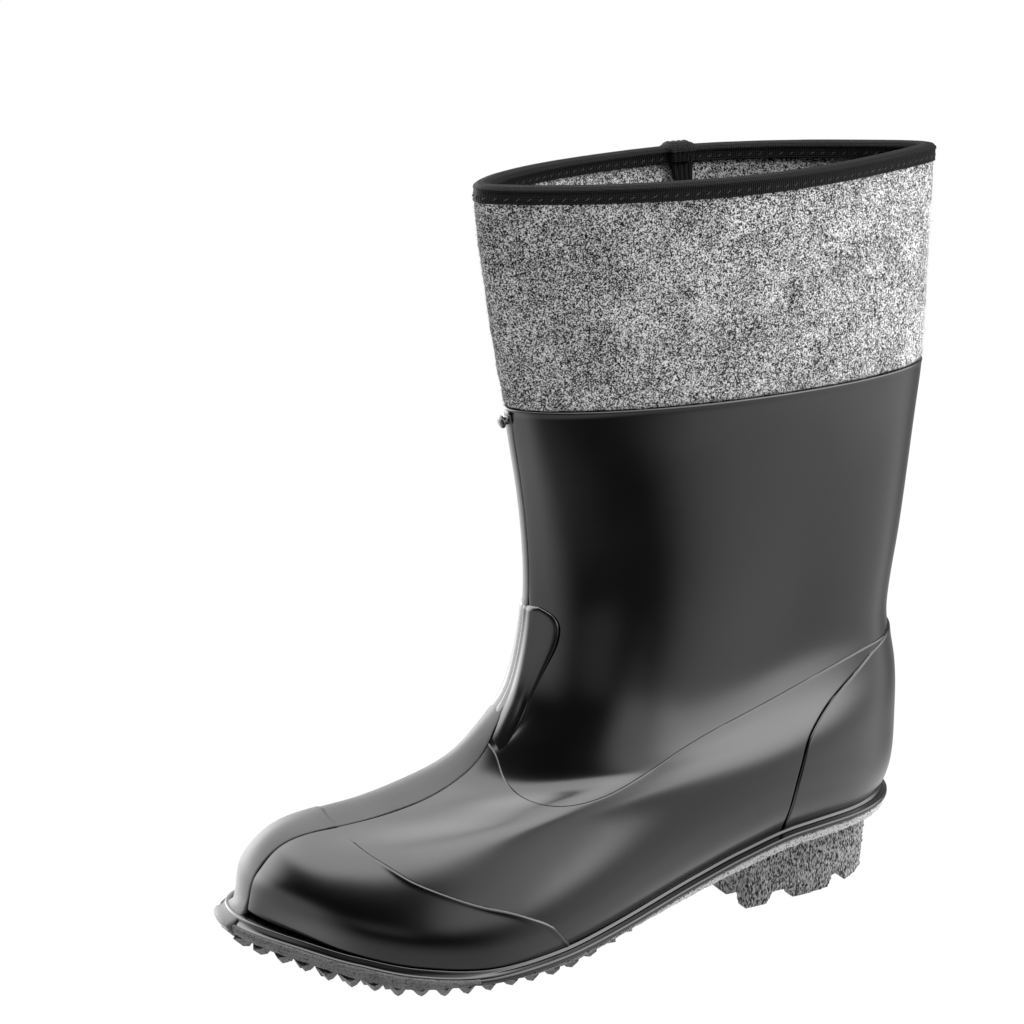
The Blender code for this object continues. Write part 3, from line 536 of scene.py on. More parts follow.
class Wire:
    """A node's socket that takes part in Python arithmetic."""

    def __init__(self, board, socket):
        self.board, self.socket = board, socket

    def maths(self, operation, *terms):
        return self.board.node("ShaderNodeMath", {"operation": operation}, dict(enumerate(terms)))

    def __add__(self, other):
        return self.maths("ADD", self, other)

    def __sub__(self, other):
        return self.maths("SUBTRACT", self, other)

    def __rsub__(self, other):
        return self.maths("SUBTRACT", other, self)

    def __mul__(self, other):
        return self.maths("MULTIPLY", self, other)

    def __neg__(self):
        return self.maths("MULTIPLY", self, -1.0)

    __radd__ = __add__
    __rmul__ = __mul__

    def sine(self):
        return self.maths("SINE", self)

    def smooth(self, low, high):
        """0 below low, 1 above high, eased between."""
        settings = {"interpolation_type": "SMOOTHSTEP"}
        sockets = {"Value": self, "From Min": low, "From Max": high}
        return self.board.node("ShaderNodeMapRange", settings, sockets)

    def dot(self, direction):
        settings = {"operation": "DOT_PRODUCT"}
        return self.board.node("ShaderNodeVectorMath", settings, {0: self, 1: direction}, "Value")


class Board:
    """A node tree and the one way nodes are added to it."""

    def __init__(self, tree):
        self.tree = tree

    def feed(self, socket, value):
        """Sets an input, by a link where the value comes from another node."""
        if isinstance(value, Wire):
            self.tree.links.new(value.socket, socket)
        else:
            socket.default_value = value

    def node(self, kind, settings=None, sockets=None, output=0):
        """Adds a node and returns one of its outputs, or a tuple of them."""
        made = self.tree.nodes.new(kind)
        for name, value in (settings or {}).items():
            if name == "stops":
                self.set_stops(made.color_ramp, value)
            else:
                setattr(made, name, value)
        for key, value in (sockets or {}).items():
            self.feed(made.inputs[key] if isinstance(key, int) else self.find(made.inputs, key), value)
        outputs = [socket for socket in made.outputs if socket.enabled]
        if isinstance(output, tuple):
            return tuple(Wire(self, self.find(outputs, name)) for name in output)
        return Wire(self, outputs[output] if isinstance(output, int) else self.find(outputs, output))

    @staticmethod
    def find(sockets, key):
        return next(s for s in sockets if s.enabled and key in (s.name, s.identifier))

    @staticmethod
    def set_stops(ramp, stops):
        while len(ramp.elements) < len(stops):
            ramp.elements.new(0.5)
        for element, (at, tone) in zip(ramp.elements, stops):
            element.position = at
            element.color = (tone, tone, tone, 1.0)


class Paint(Board):
    """A material under way."""

    def __init__(self, name):
        self.material = bpy.data.materials.new(name)
        self.material.use_nodes = True
        super().__init__(self.material.node_tree)
        self.principled = self.tree.nodes["Principled BSDF"]

    def spot(self):
        return self.node("ShaderNodeTexCoord", output="Object")

    def noise(self, size, detail=2.0, rough=0.5, vector=None):
        """Noise whose bumps are about a size, in millimetres."""
        sockets = {"Vector": vector or self.spot(), "Scale": 1 / (size * MM)}
        return self.node("ShaderNodeTexNoise", None, {**sockets, "Detail": detail, "Roughness": rough})

    def ramp(self, factor, *stops):
        return self.node("ShaderNodeValToRGB", {"stops": stops}, {"Fac": factor})

    def blend(self, factor, first, second, how="MIX"):
        """Mix of two colours; a plain number is a grey."""
        settings = {"data_type": "RGBA", "blend_type": how}
        first, second = ((c, c, c, 1.0) if isinstance(c, float) else c for c in (first, second))
        sockets = {"Factor_Float": factor, "A_Color": first, "B_Color": second}
        return self.node("ShaderNodeMix", settings, sockets, "Result_Color")

    def bumps(self, height, strength=1.0):
        """Normal for a height in millimetres."""
        return self.node("ShaderNodeBump", None, {"Height": height, "Distance": MM, "Strength": strength})

    def shader(self, **sockets):
        for name, value in sockets.items():
            self.feed(self.principled.inputs[name.replace("_", " ")], value)
        return self.material


class Recipe(Board):
    """A Geometry Nodes tree with named sizes, run once to make a plain mesh."""

    def __init__(self, name, **sizes):
        super().__init__(bpy.data.node_groups.new(name, "GeometryNodeTree"))
        board = self.tree.interface
        board.new_socket("Geometry", in_out="INPUT", socket_type="NodeSocketGeometry")
        self.values = {}
        for label, value in sizes.items():
            socket = board.new_socket(label, in_out="INPUT", socket_type="NodeSocketFloat")
            self.values[socket.identifier] = value
        board.new_socket("Geometry", in_out="OUTPUT", socket_type="NodeSocketGeometry")
        self.entry = self.tree.nodes.new("NodeGroupInput")

    def given(self, label="Geometry"):
        return Wire(self, self.entry.outputs[label])

    def attribute(self, name, kind="FLOAT_VECTOR"):
        return self.node("GeometryNodeInputNamedAttribute", {"data_type": kind}, {"Name": name})

    def vector(self, x, y, z):
        return self.node("ShaderNodeCombineXYZ", None, {"X": x, "Y": y, "Z": z})

    def chance(self, low, high, seed):
        sockets = {"Min": low, "Max": high, "Seed": seed}
        return self.node("FunctionNodeRandomValue", {"data_type": "FLOAT"}, sockets)

    def aim(self, axis, direction, rotation=None, pivot="AUTO"):
        """A rotation that points an axis along a direction."""
        sockets = {"Vector": direction}
        if rotation is not None:
            sockets["Rotation"] = rotation
        return self.node("FunctionNodeAlignRotationToVector", {"axis": axis, "pivot_axis": pivot}, sockets)

    def spin(self, rotation, x=0.0, y=0.0, z=0.0):
        """A rotation turned further about its own axes."""
        turn = self.node("FunctionNodeEulerToRotation", None, {"Euler": self.vector(x, y, z)})
        return self.node("FunctionNodeRotateRotation", {"rotation_space": "LOCAL"},
                         {"Rotation": rotation, "Rotate By": turn})

    def instances(self, points, shape, rotation, scale):
        return self.node("GeometryNodeInstanceOnPoints", None,
                         {"Points": points, "Instance": shape, "Rotation": rotation, "Scale": scale})

    def run(self, name, seat, scattered, finish):
        """Realizes the instances on a seat object and returns them as a mesh object."""
        whole = self.node("GeometryNodeRealizeInstances", None, {"Geometry": scattered})
        done = self.node("GeometryNodeSetMaterial", None, {"Geometry": whole, "Material": finish})
        leave = self.tree.nodes.new("NodeGroupOutput")
        self.feed(leave.inputs["Geometry"], done)
        modifier = seat.modifiers.new(name, "NODES")
        modifier.node_group = self.tree
        for identifier, value in self.values.items():
            modifier[identifier] = value
        mesh = baked(seat, modifier, preserve_all_data_layers=True)
        mesh.name = name
        return put(name, mesh)


def seat_points(name, points, edges=(), **attributes):
    """Loose points or a line, in millimetres, that a recipe is run on."""
    mesh = bpy.data.meshes.new(name)
    mesh.from_pydata(place(points).tolist(), list(edges), [])
    for label, values in attributes.items():
        layer = mesh.attributes.new(label, "FLOAT_VECTOR", "POINT")
        layer.data.foreach_set("vector", np.asarray(values, np.float32).ravel())
    return put(name, mesh)


# Finishes


def black_rubber(name, gloss, low, high, mirror=0.5):
    """Satin black rubber with a faint cloudiness in its gloss; low and high set its base tone, which for the
    front strip is raised to a painted sheen.
    """
    paint = Paint(name)
    cloud = paint.noise(22.0, 3.0)
    grain = paint.noise(0.5, 2.0)
    tone = paint.blend(cloud, low, high)
    height = 0.04 * paint.noise(14.0, 1.0) + 0.004 * grain
    return paint.shader(Base_Color=tone, Roughness=gloss + 0.06 * cloud, Normal=paint.bumps(height),
                        Specular_IOR_Level=mirror)


def painted_seam_shade():
    """Painted shade: black, matte lines that stand in for the shadow in the seams where two pieces of rubber
    meet.
    """
    paint = Paint("cement_line_finish")
    tone = paint.blend(paint.noise(1.2), 0.0006, 0.002)
    return paint.shader(Base_Color=tone, Roughness=1.0, Specular_IOR_Level=0.0)


def tread_rubber():
    """Dull grey sole rubber, pitted, worn and paler behind the forefoot."""
    paint = Paint("tread_rubber_finish")
    behind = 1 - paint.spot().dot((1.0, 0.0, 0.0)).smooth(-0.02, 0.03)
    patch = paint.noise(6.0, 3.0)
    pits = paint.noise(0.9, 3.0, 0.7)
    tone = paint.blend(patch, (0.09, 0.09, 0.091, 1.0), 0.23)
    tone = paint.blend(behind, tone, 0.5)
    tone = paint.blend(pits.smooth(0.34, 0.5), 0.02, tone)
    return paint.shader(Base_Color=tone, Roughness=0.7 + 0.25 * pits, Normal=paint.bumps(0.3 * pits, 0.8),
                        Specular_IOR_Level=0.25)


def heel_rubber():
    """Rough sides of the heel: pitted, streaked along and worn pale."""
    paint = Paint("heel_rubber_finish")
    turn = {"Vector": paint.spot(), "Rotation": (0.0, 0.95, 0.0), "Scale": (1.0, 0.6, 0.42)}
    slant = paint.node("ShaderNodeMapping", None, turn)
    streak = paint.noise(0.7, 1.5, 0.6, slant)
    pits = paint.noise(1.6, 2.0, 0.6)
    mixed = 0.72 * streak + 0.28 * pits
    tone = paint.ramp(mixed, (0.40, 0.004), (0.45, 0.02), (0.48, 0.14), (0.55, 0.26), (0.66, 0.38))
    return paint.shader(Base_Color=tone, Roughness=0.75 + 0.2 * pits, Normal=paint.bumps(0.55 * mixed),
                        Specular_IOR_Level=0.25)


def felt_cloth():
    """Salt-and-pepper wool felt."""
    paint = Paint("grey_felt_finish")
    speck = paint.noise(0.6, 2.0, 0.7)
    strand = paint.noise(1.7, 2.0, 0.6)
    blotch = paint.noise(14.0, 2.0)
    mixed = 0.76 * speck + 0.24 * strand + 0.07 * (blotch - 0.5)
    melange = paint.ramp(mixed, (0.42, 0.008), (0.465, 0.06), (0.50, 0.29), (0.54, 0.66), (0.59, 0.9))
    shade = paint.ramp(blotch, (0.32, 0.8), (0.66, 1.0))
    tone = paint.blend(1.0, melange, shade, "MULTIPLY")
    height = 0.25 * speck + 0.25 * strand
    return paint.shader(Base_Color=tone, Roughness=0.95, Normal=paint.bumps(height, 0.7), Sheen_Weight=0.12,
                        Specular_IOR_Level=0.1)


def felt_hair():
    """Loose wool hairs, some light and some dark."""
    paint = Paint("felt_hair_finish")
    lot = paint.node("ShaderNodeAttribute", {"attribute_name": "lot"}, output="Fac")
    tone = paint.ramp(lot, (0.25, 0.03), (0.45, 0.20), (0.75, 0.55))
    return paint.shader(Base_Color=tone, Roughness=0.9, Specular_IOR_Level=0.2)


def binding_tape():
    """Black woven tape, ribbed across."""
    paint = Paint("binding_tape_finish")
    uv = paint.node("ShaderNodeUVMap", {"uv_map": "weave"})
    along, over = paint.node("ShaderNodeSeparateXYZ", None, {"Vector": uv}, ("X", "Y"))
    rib = (along * (2 * np.pi / 0.95)).sine()
    cord = (over * (2 * np.pi / 0.8) + rib * 0.5).sine()
    fibre = paint.noise(0.4, 3.0, 0.7)
    tone = paint.blend(fibre, 0.0006, (0.0035, 0.0035, 0.0036, 1.0))
    height = 0.11 * rib + 0.07 * cord + 0.12 * fibre
    return paint.shader(Base_Color=tone, Roughness=0.6, Normal=paint.bumps(height), Specular_IOR_Level=0.07)


def stitch_thread():
    """Dark thread of the tape's seam."""
    paint = Paint("stitch_thread_finish")
    twist = paint.noise(0.5, 2.0)
    tone = paint.blend(twist, 0.006, 0.03)
    return paint.shader(Base_Color=tone, Roughness=0.8, Normal=paint.bumps(0.1 * twist))


RUBBER = black_rubber("black_rubber_finish", 0.18, 0.0008, 0.0018)
# Front strip: its pale grey base colour is painted sheen, standing in for the bright reflection on its black
# rubber
STRIP_RUBBER_PAINTED_SHEEN = black_rubber("strip_rubber_finish", 0.36, 0.09, 0.125, 0.17)
# Painted shade: near-black matte lines laid in the seams between rubber pieces, standing in for their shadow
SEAM_SHADE = painted_seam_shade()
TREAD = tread_rubber()
HEEL_RUBBER = heel_rubber()
FELT_CLOTH = felt_cloth()
FELT_HAIR = felt_hair()
TAPE = binding_tape()
THREAD = stitch_thread()


# Rubber upper and its overlays

# Soft folds in the rubber: place, reach along and across in millimetres, turn, and height
Fold = namedtuple("Fold", "share level along across turn height")
FOLDS = {
    "outer_pad_foot": Fold(0.050, 6.95, 8.0, 2.0, 72.0, -0.55),
    "inner_pad_foot": Fold(-0.050, 6.95, 8.0, 2.0, -72.0, -0.55),
}


def fold_height(share, level):
    """Ridges and troughs of the rubber at places on the skin."""
    height = np.zeros(np.broadcast(share, level).shape)
    for fold in FOLDS.values():
        ring = np.interp(fold.level, skin.levels, skin.lengths)
        tall = np.linalg.norm(skin.at(fold.share, fold.level + 0.5) - skin.at(fold.share, fold.level - 0.5))
        a, b = (share - fold.share) * ring, (level - fold.level) * tall
        cos, sin = np.cos(np.radians(fold.turn)), np.sin(np.radians(fold.turn))
        u, v = a * cos + b * sin, b * cos - a * sin
        height = height + fold.height * np.exp(-(u / fold.along) ** 2 - (v / fold.across) ** 2)
    return height


def round_grid(shares, profile):
    """Share, level and height over the skin of a profile carried right round the boot."""
    level, out = (np.array(column)[:, None] + 0.0 * shares for column in zip(*profile))
    return np.broadcast_to(shares, level.shape), level, out


def sleeve(name, points, finish):
    """Piece whose grid of points joins up in both directions."""
    return make_piece(name, points, quads(*points.shape[:2], round_rows=True, round_columns=True), finish)


def make_upper():
    shares = round_shares(180, 0.35)
    outer = np.linspace(0.0, RIM - 0.06, 150)
    profile = [(level, UPPER_OUT) for level in outer]
    lip = ((-0.045, 0.68), (-0.02, 0.76), (0.0, 0.66), (0.012, 0.4), (0.014, -0.2), (0.012, -1.7),
           (0.0, -2.05))
    profile += [(RIM + rise, out) for rise, out in lip]
    profile += [(level, -WALL) for level in np.linspace(RIM - 0.03, 0.0, 34)]
    share, level, out = round_grid(shares, profile)
    out = out + np.where(out > 0.5, fold_height(share, level), 0.0)
    wear(sleeve("upper_rubber", skin.at(share, level, out), RUBBER), "black_rubber", "upper")


def overlay(node, share, level, out):
    """Rubber piece over the skin, in place of the solid that it is named for."""
    piece = slab(node + "_rubber", skin.at(share, level, out), skin.at(share, level, HIDDEN), RUBBER)
    wear(piece, "black_rubber", node)


def make_toe_cap():
    run = both_sides(np.linspace(0.0, 1.0, 141))
    share, top = edge_path(CAP_EDGE, run)
    share = np.sign(run) * share
    rough = FOOT + np.linspace(0.0, 1.0, 9)[:, None] * (top - FOOT)
    length = column_lengths(np.broadcast_to(share, rough.shape), rough)
    level = FOOT + towards_edge(length, 46) * (top - FOOT)
    share = np.broadcast_to(share, level.shape)
    distance = edge_distance(skin.at(share, level), skin.at(share[-1], level[-1]))
    bead = 0.3 * eased(np.abs(share), 0.10, 0.24) * np.exp(-((distance - 1.0) / 0.7) ** 2)
    sunk = 0.27 * (1 - eased(np.abs(share), 0.06, 0.13)) * np.exp(-(distance / 6.0) ** 2)
    out = GALOSH_OUT - CAP_BURIED + (CAP_OUT - GALOSH_OUT + CAP_BURIED - sunk) * rounded(distance, CAP_ROUND)
    overlay("toe_cap", share, level, out + bead)


COUNTER_SEAM = 0.0022


def make_galosh():
    front = np.linspace(0.0, 1.0, 111) * GALOSH_TURN
    end = 1 - np.array([0.014, 0.010, 0.007, 0.0048, 0.003, 0.0016, 0.0007, 0.0])
    half = np.concatenate([front, np.linspace(GALOSH_TURN, end[0], 120)[1:-1], end])
    run = both_sides(half)
    along = np.abs(run)
    high_share, high = edge_path(GALOSH_EDGE, along)
    low_share, low = edge_path(CAP_EDGE, np.minimum(along / GALOSH_TURN, 1.0))
    behind = np.maximum(along - GALOSH_TURN, 0.0) / (1.0 - GALOSH_TURN)
    low_share = low_share + (counter_share(FOOT) - low_share) * behind
    low = np.where(behind > 0.0, FOOT, np.maximum(low - 0.12, FOOT))

    def grid(up):
        share, level = low_share + up * (high_share - low_share), low + up * (high - low)
        limit = counter_share(np.minimum(level[:, -1:], COUNTER_TOP)) - COUNTER_SEAM
        share = share + (np.minimum(limit, high_share[-1]) - share[:, -1:]) * behind ** 3
        return np.sign(run) * np.where(along > 0.0, share, 0.0), level

    share, level = grid(towards_edge(column_lengths(*grid(np.linspace(0.0, 1.0, 9)[:, None])), 42))
    distance = rim_distance(skin.at(share, level))
    sunk = 0.45 * (1 - eased(np.abs(share), 0.06, 0.12)) * np.exp(-(distance / 8.0) ** 2)
    out = UPPER_OUT - BURIED + (GALOSH_OUT - UPPER_OUT + BURIED - sunk) * rounded(distance, GALOSH_ROUND)
    overlay("galosh", share, level, out)


def make_counter():
    level = np.concatenate([np.linspace(FOOT, 5.9, 60), np.linspace(5.95, COUNTER_TOP, 24)])[:, None]
    front = counter_share(level)
    share = front + between_edges(110, 150.0) * 2 * (1 - front)
    level = np.broadcast_to(level, share.shape)
    distance = rim_distance(skin.at(share, level))
    out = UPPER_OUT - BURIED + (COUNTER_OUT - UPPER_OUT + BURIED) * rounded(distance, COUNTER_ROUND)
    overlay("heel_counter", share, level, out)


def pad_places(up, across):
    """Places on the instep pad: up from 0 to 1, across from -1 to 1."""
    row = natural(np.arange(len(PAD_ROWS)), np.array(PAD_ROWS), up * (len(PAD_ROWS) - 1))
    level, half, sag = row.T[:, :, None]
    return skin.share_of(half, level) * across, level - sag * across ** 2


def make_pad():
    across = between_edges(44, 36.0) * 2 - 1
    share, level = pad_places(between_edges(70, 60.0), across)
    distance = rim_distance(skin.at(share, level))
    beside = np.abs(share - strip_share(level, np.sign(share))) / skin.share_of(1.0, level)
    rib = 0.6 * np.exp(-((beside - 2.2) / 2.4) ** 2)
    foot = eased(level, 6.55, 7.7)
    out = UPPER_OUT - BURIED + (PAD_OUT - UPPER_OUT + BURIED + rib) * rounded(distance, PAD_ROUND) * foot
    overlay("instep_pad", share, level, out)


def flange_at(x):
    """How far the flange stands out and how tall its edge is at x."""
    toe = ramped(x, FLANGE_TOE_FROM, TOE_TIP)
    out = FLANGE_OUT + (FLANGE_OUT_TOE - FLANGE_OUT) * toe
    return out, FLANGE_TALL + (FLANGE_TALL_TOE - FLANGE_TALL) * toe


class Plan:
    """Outline of the sole: the feather line's plan, moved in or out."""

    def __init__(self, shares):
        self.points = skin.at(shares, np.zeros(len(shares)))[:, :2]
        self.normals = unit(skin.at(shares, np.zeros(len(shares)), 1.0)[:, :2] - self.points)
        self.feather = sole_height("feather", self.points[:, 0])

    def moved(self, out):
        return self.points + self.normals * np.broadcast_to(out, len(self.points))[:, None]

    def hung(self, out, drop):
        """Outline as 3-D points, moved out and dropped from the feather line."""
        return np.column_stack([self.moved(out), self.feather - SOLE_GAP - drop])


# The strip's foot over the flange: how far out, and how far below the feather line
STRIP_TONGUE = ((2.6, -1.6), (4.0, -0.7), (6.0, 0.6), (8.2, 1.4), (9.6, 1.9), (10.35, 2.7), (10.5, 3.8),
                (10.2, 5.0))


def make_strip():
    runs = [np.linspace(0.5, 3.2, 60), np.linspace(3.22, 3.9, 70), np.linspace(3.94, STRIP_TOP - 0.15, 185)]
    level = np.concatenate([*runs, STRIP_TOP - EDGE_STEPS / STRIP_LEVEL_TALL])[:, None]
    across = between_edges(26, 24.0) * 2 - 1
    share = strip_share(level, across)
    level = np.broadcast_to(level, share.shape)
    distance = rim_distance(skin.at(share, level))
    bed, top = (strip_height(column, share, level) for column in ("bed", "top"))
    face = skin.at(share, level, bed + (top - bed) * rounded(distance, STRIP_ROUND))
    back = skin.at(share, level, HIDDEN)
    tongue = Plan(strip_share(np.zeros(1), across))
    edge = rounded(np.minimum(across + 1, 1 - across) * STRIP_WIDTHS[0].outer, 0.9)
    lip, under = [], []
    for out, drop in STRIP_TONGUE:
        lip.append(tongue.hung(out - 0.8 * (1 - edge), drop + 0.5 * (1 - edge)))
        under.append(tongue.hung(out - 2.2, drop + 1.6))
    face = np.concatenate([np.array(lip[::-1]), face])
    back = np.concatenate([np.array(under[::-1]), back])
    # The strip's finish paints its sheen into a pale base colour
    strip = slab("front_strip_rubber", face, back, STRIP_RUBBER_PAINTED_SHEEN)
    wear(strip, "black_rubber", "front_strip")


def seam_shade_line(places, out, width, side):
    """Points and faces of a low black line of painted seam shade beside an edge; side says where its middle
    lies.
    """
    share, level = places
    path = skin.at(share, level, out)
    normal = skin.normal(share, level)
    beside = np.cross(normal, unit(np.gradient(path, axis=0)))
    turn = np.linspace(0.0, np.pi, 7)[:, None, None]
    width = np.broadcast_to(width, len(path))[:, None]
    middle = path + beside * width * side
    arch = middle + beside * np.cos(turn) * width / 2 + normal * (0.10 * np.sin(turn) - 0.02)
    bed = middle - normal * 0.6
    ring = np.concatenate([arch, bed[None]])
    rows, count = ring.shape[:2]
    faces = quads(rows, count, round_rows=True).tolist()
    ends = [[r * count for r in reversed(range(rows))], [r * count + count - 1 for r in range(rows)]]
    return ring.reshape(-1, 3), faces + ends


# Turns places on the outside of the boot into places on the inside
MIRROR = np.array([[-1.0], [1.0]])

# Width of the painted seam shade round the instep pad, by level
PAD_SEAM_SHADE = ((6.9, 7.6, 8.4, 8.9, 9.2, 9.5), (0.08, 0.15, 0.35, 0.9, 0.8, 0.3))


def make_seam_shade():
    """Black lines of painted shade along the edges of the overlays, on both sides of the boot, standing in
    for the shadow in the seams.
    """
    fine = np.linspace(0.0, 1.0, 280)
    cap = edge_path(CAP_EDGE, 0.18 + 0.80 * fine)
    galosh = edge_path(GALOSH_EDGE, 0.16 + 0.84 * fine)
    counter_level = np.linspace(FOOT + 0.05, COUNTER_TOP - 0.03, 240)
    counter = np.array([counter_share(counter_level), counter_level])
    rim = pad_places(np.linspace(0.14, 1.0, 180), np.array([1.0]))
    pad = np.array([rim[0][:, 0], rim[1][:, 0]])
    strip_level = np.linspace(0.25, STRIP_TOP, 480)
    strip = [np.array([strip_share(strip_level, hand), strip_level]) for hand in (1, -1)]
    wander = unevenness(skin.at(*strip[0]), 34.0, 4).clip(-1, 1)
    # Width of the painted shade line in the crack along the strip's edges, uneven along its length
    crack_shade = (0.3 + 0.15 * wander) * (1 - 0.55 * eased(strip_level, 6.8, 8.0))
    crack_shade = crack_shade + 0.6 * np.exp(-((strip_level - 2.05) / 0.4) ** 2)
    lines = (
        ((cap, cap * MIRROR), GALOSH_OUT, 0.34 - 0.14 * fine, -0.5),
        ((galosh, galosh * MIRROR), UPPER_OUT, 0.42, -0.5),
        ((counter, counter * MIRROR), GALOSH_OUT - 0.5, 0.62, 0.1),
        ((pad, pad * MIRROR), UPPER_OUT, np.interp(pad[1], *PAD_SEAM_SHADE), -0.5),
        (strip, strip_height("bed", *strip[0]) + 0.05, crack_shade, -0.45),
    )
    shapes = [seam_shade_line(places, out, width, side * hand)
              for sides, out, width, side in lines for places, hand in zip(sides, (1, -1))]
    # All the lines of painted seam shade as one near-black piece
    seam_shade = make_piece("seam_shade_lines", *joined(shapes), SEAM_SHADE)
    seam_shade.data.shade_flat()
    turn_out(seam_shade)
    wear(seam_shade, "black_rubber")


def make_button():
    """Rubber button at the front of the rim: a dome on a short stem."""
    profile = ((0.0, 0.0), (2.1, 0.0), (1.75, 0.5), (1.55, 1.2), (1.55, 2.0), (2.2, 2.15), (2.55, 2.5),
               (2.6, 3.0), (2.4, 3.6), (1.8, 4.0), (1.0, 4.2), (0.0, 4.25))
    foot = skin.at(0.0, BUTTON_LEVEL, UPPER_OUT - 0.2)
    out = Vector(skin.normal(0.0, BUTTON_LEVEL))
    turn = np.array(out.to_track_quat("Z", "Y").to_matrix())
    sides = 40
    around = np.linspace(0.0, 2 * np.pi, sides, endpoint=False)
    steps = np.linspace(0, len(profile) - 1, 45)
    wide, tall = (level_run(np.arange(len(profile)), column, steps) for column in zip(*profile))
    ring = np.stack([wide[1:-1, None] * np.cos(around), wide[1:-1, None] * np.sin(around),
                     tall[1:-1, None] + 0 * around], -1)
    points = np.concatenate([ring.reshape(-1, 3), [[0, 0, tall[0]], [0, 0, tall[-1]]]]) @ turn.T + foot
    foot_end = len(ring) * sides
    last = foot_end - sides
    faces = quads(len(ring), sides, round_columns=True).tolist()
    faces += [[foot_end, (c + 1) % sides, c] for c in range(sides)]
    faces += [[foot_end + 1, last + c, last + (c + 1) % sides] for c in range(sides)]
    wear(make_piece("rim_button", points, faces, RUBBER), "black_rubber", "front_nub")


# Felt cuff, tape and stitches


def make_felt():
    shares = round_shares(190, 0.3)
    outer = [(level, 0.35 - 0.5 * np.exp(-((level - 13.03) / 0.09) ** 2))
             for level in np.linspace(13.06, 16.7, 112)]
    over = [(16.78, -0.2), (16.82, -1.5), (16.82, -3.0), (16.78, -4.2)]
    inner = [(level, -FELT) for level in np.linspace(16.6, 14.2, 30)]
    inner += [(level, np.interp(level, (13.0, 14.0), (FELT_TUCK_IN, -FELT)))
              for level in np.linspace(14.0, 13.0, 12)]
    tuck = [(12.6, FELT_TUCK_IN), (12.2, FELT_TUCK_IN), (12.02, -5.2), (12.02, -3.2), (12.2, FELT_TUCK_OUT),
            (12.7, FELT_TUCK_OUT), (13.02, FELT_TUCK_OUT + 0.3)]
    hem = [(13.03, -1.4), (13.025, -0.7), (13.03, -0.3)]
    profile = outer + over + inner + tuck + hem
    share, level, out = round_grid(shares, profile)
    spot = skin.at(share, level)
    lumps = 0.14 * unevenness(spot, 11.0, 11) + 0.08 * unevenness(spot, 3.4, 12)
    lumps = lumps + 0.06 * unevenness(spot, 1.7, 13)
    hidden = (level < 12.9) | (level > 16.75)
    ragged = 0.004 * unevenness(spot, 6.0, 14) * (np.abs(level - 13.04) < 0.03) * (out > -0.8)
    points = skin.at(share, level + ragged, out + np.where(hidden, 0.0, lumps))
    felt = sleeve("felt_cuff_cloth", points, FELT_CLOTH)
    wear(felt, "grey_felt", "felt_cuff")
    fuzz = (2.2 * (np.abs(level - 13.06) < 0.06) * (out > -0.5) + 0.4 * (out > 0.0) * (level < 16.4)
            + 0.2 * (out < -4.0) * (level > 14.0) * (level < 16.3))
    layer = felt.data.attributes.new("fuzz", "FLOAT", "POINT")
    layer.data.foreach_set("value", fuzz.astype(np.float32).ravel())
    return felt


def make_hairs(felt):
    """Loose hairs over the felt, thickest along its lower edge."""
    recipe = Recipe("felt_hairs", Density=900000.0, Length=1.2 * MM, Thickness=0.04 * MM)
    fuzz = recipe.attribute("fuzz", "FLOAT")
    spread = {"Mesh": recipe.given(), "Density": recipe.given("Density") * fuzz, "Seed": 7}
    kind = "GeometryNodeDistributePointsOnFaces"
    points, rotation = recipe.node(kind, None, spread, ("Points", "Rotation"))
    hair = recipe.node("GeometryNodeMeshCone", {"fill_type": "NONE"},
                       {"Vertices": 3, "Radius Top": 0.15, "Radius Bottom": 1.0, "Depth": 1.0}, "Mesh")
    turned = recipe.spin(rotation, z=recipe.chance(0.0, 6.28, 3))
    leaning = recipe.spin(turned, x=recipe.chance(0.35, 1.35, 5))
    thick = recipe.given("Thickness")
    long = recipe.given("Length") * recipe.chance(0.5, 1.5, 8)
    placed = recipe.instances(points, hair, leaning, recipe.vector(thick, thick, long))
    stored = recipe.node("GeometryNodeStoreNamedAttribute", {"data_type": "FLOAT", "domain": "INSTANCE"},
                         {"Geometry": placed, "Name": "lot", "Value": recipe.chance(0.0, 1.0, 21)})
    hairs = recipe.run("felt_hairs", felt, stored, FELT_HAIR)
    wear(hairs, "grey_felt")


def tape_profile():
    """Closed outline of the folded tape: how far out from the skin and up from its foot."""
    up = np.linspace(0.0, 4.6, 20)
    band = np.stack([TAPE_OUT - 0.05 + 0.05 * np.sin(up * 2 * np.pi / 1.15), up], 1)
    turn = np.linspace(0.0, np.pi, 46)
    middle, half = (TAPE_OUT + TAPE_IN) / 2, (TAPE_OUT - TAPE_IN) / 2 + 0.25
    cords = 0.16 * np.abs(np.sin(turn * 5.0))
    bead = np.stack([middle + (half + cords) * np.cos(turn), 4.7 + (3.2 + cords) * np.sin(turn)], 1)
    inside = np.stack([TAPE_IN + 0.05 + 0.0 * up, up[::-1]], 1)
    gutter = np.array([[TAPE_IN + 1.0, 0.05], [TAPE_IN + 1.1, 4.0], [middle, 5.2], [0.2, 4.0], [0.3, 0.05]])
    return np.concatenate([band, bead, inside, gutter])


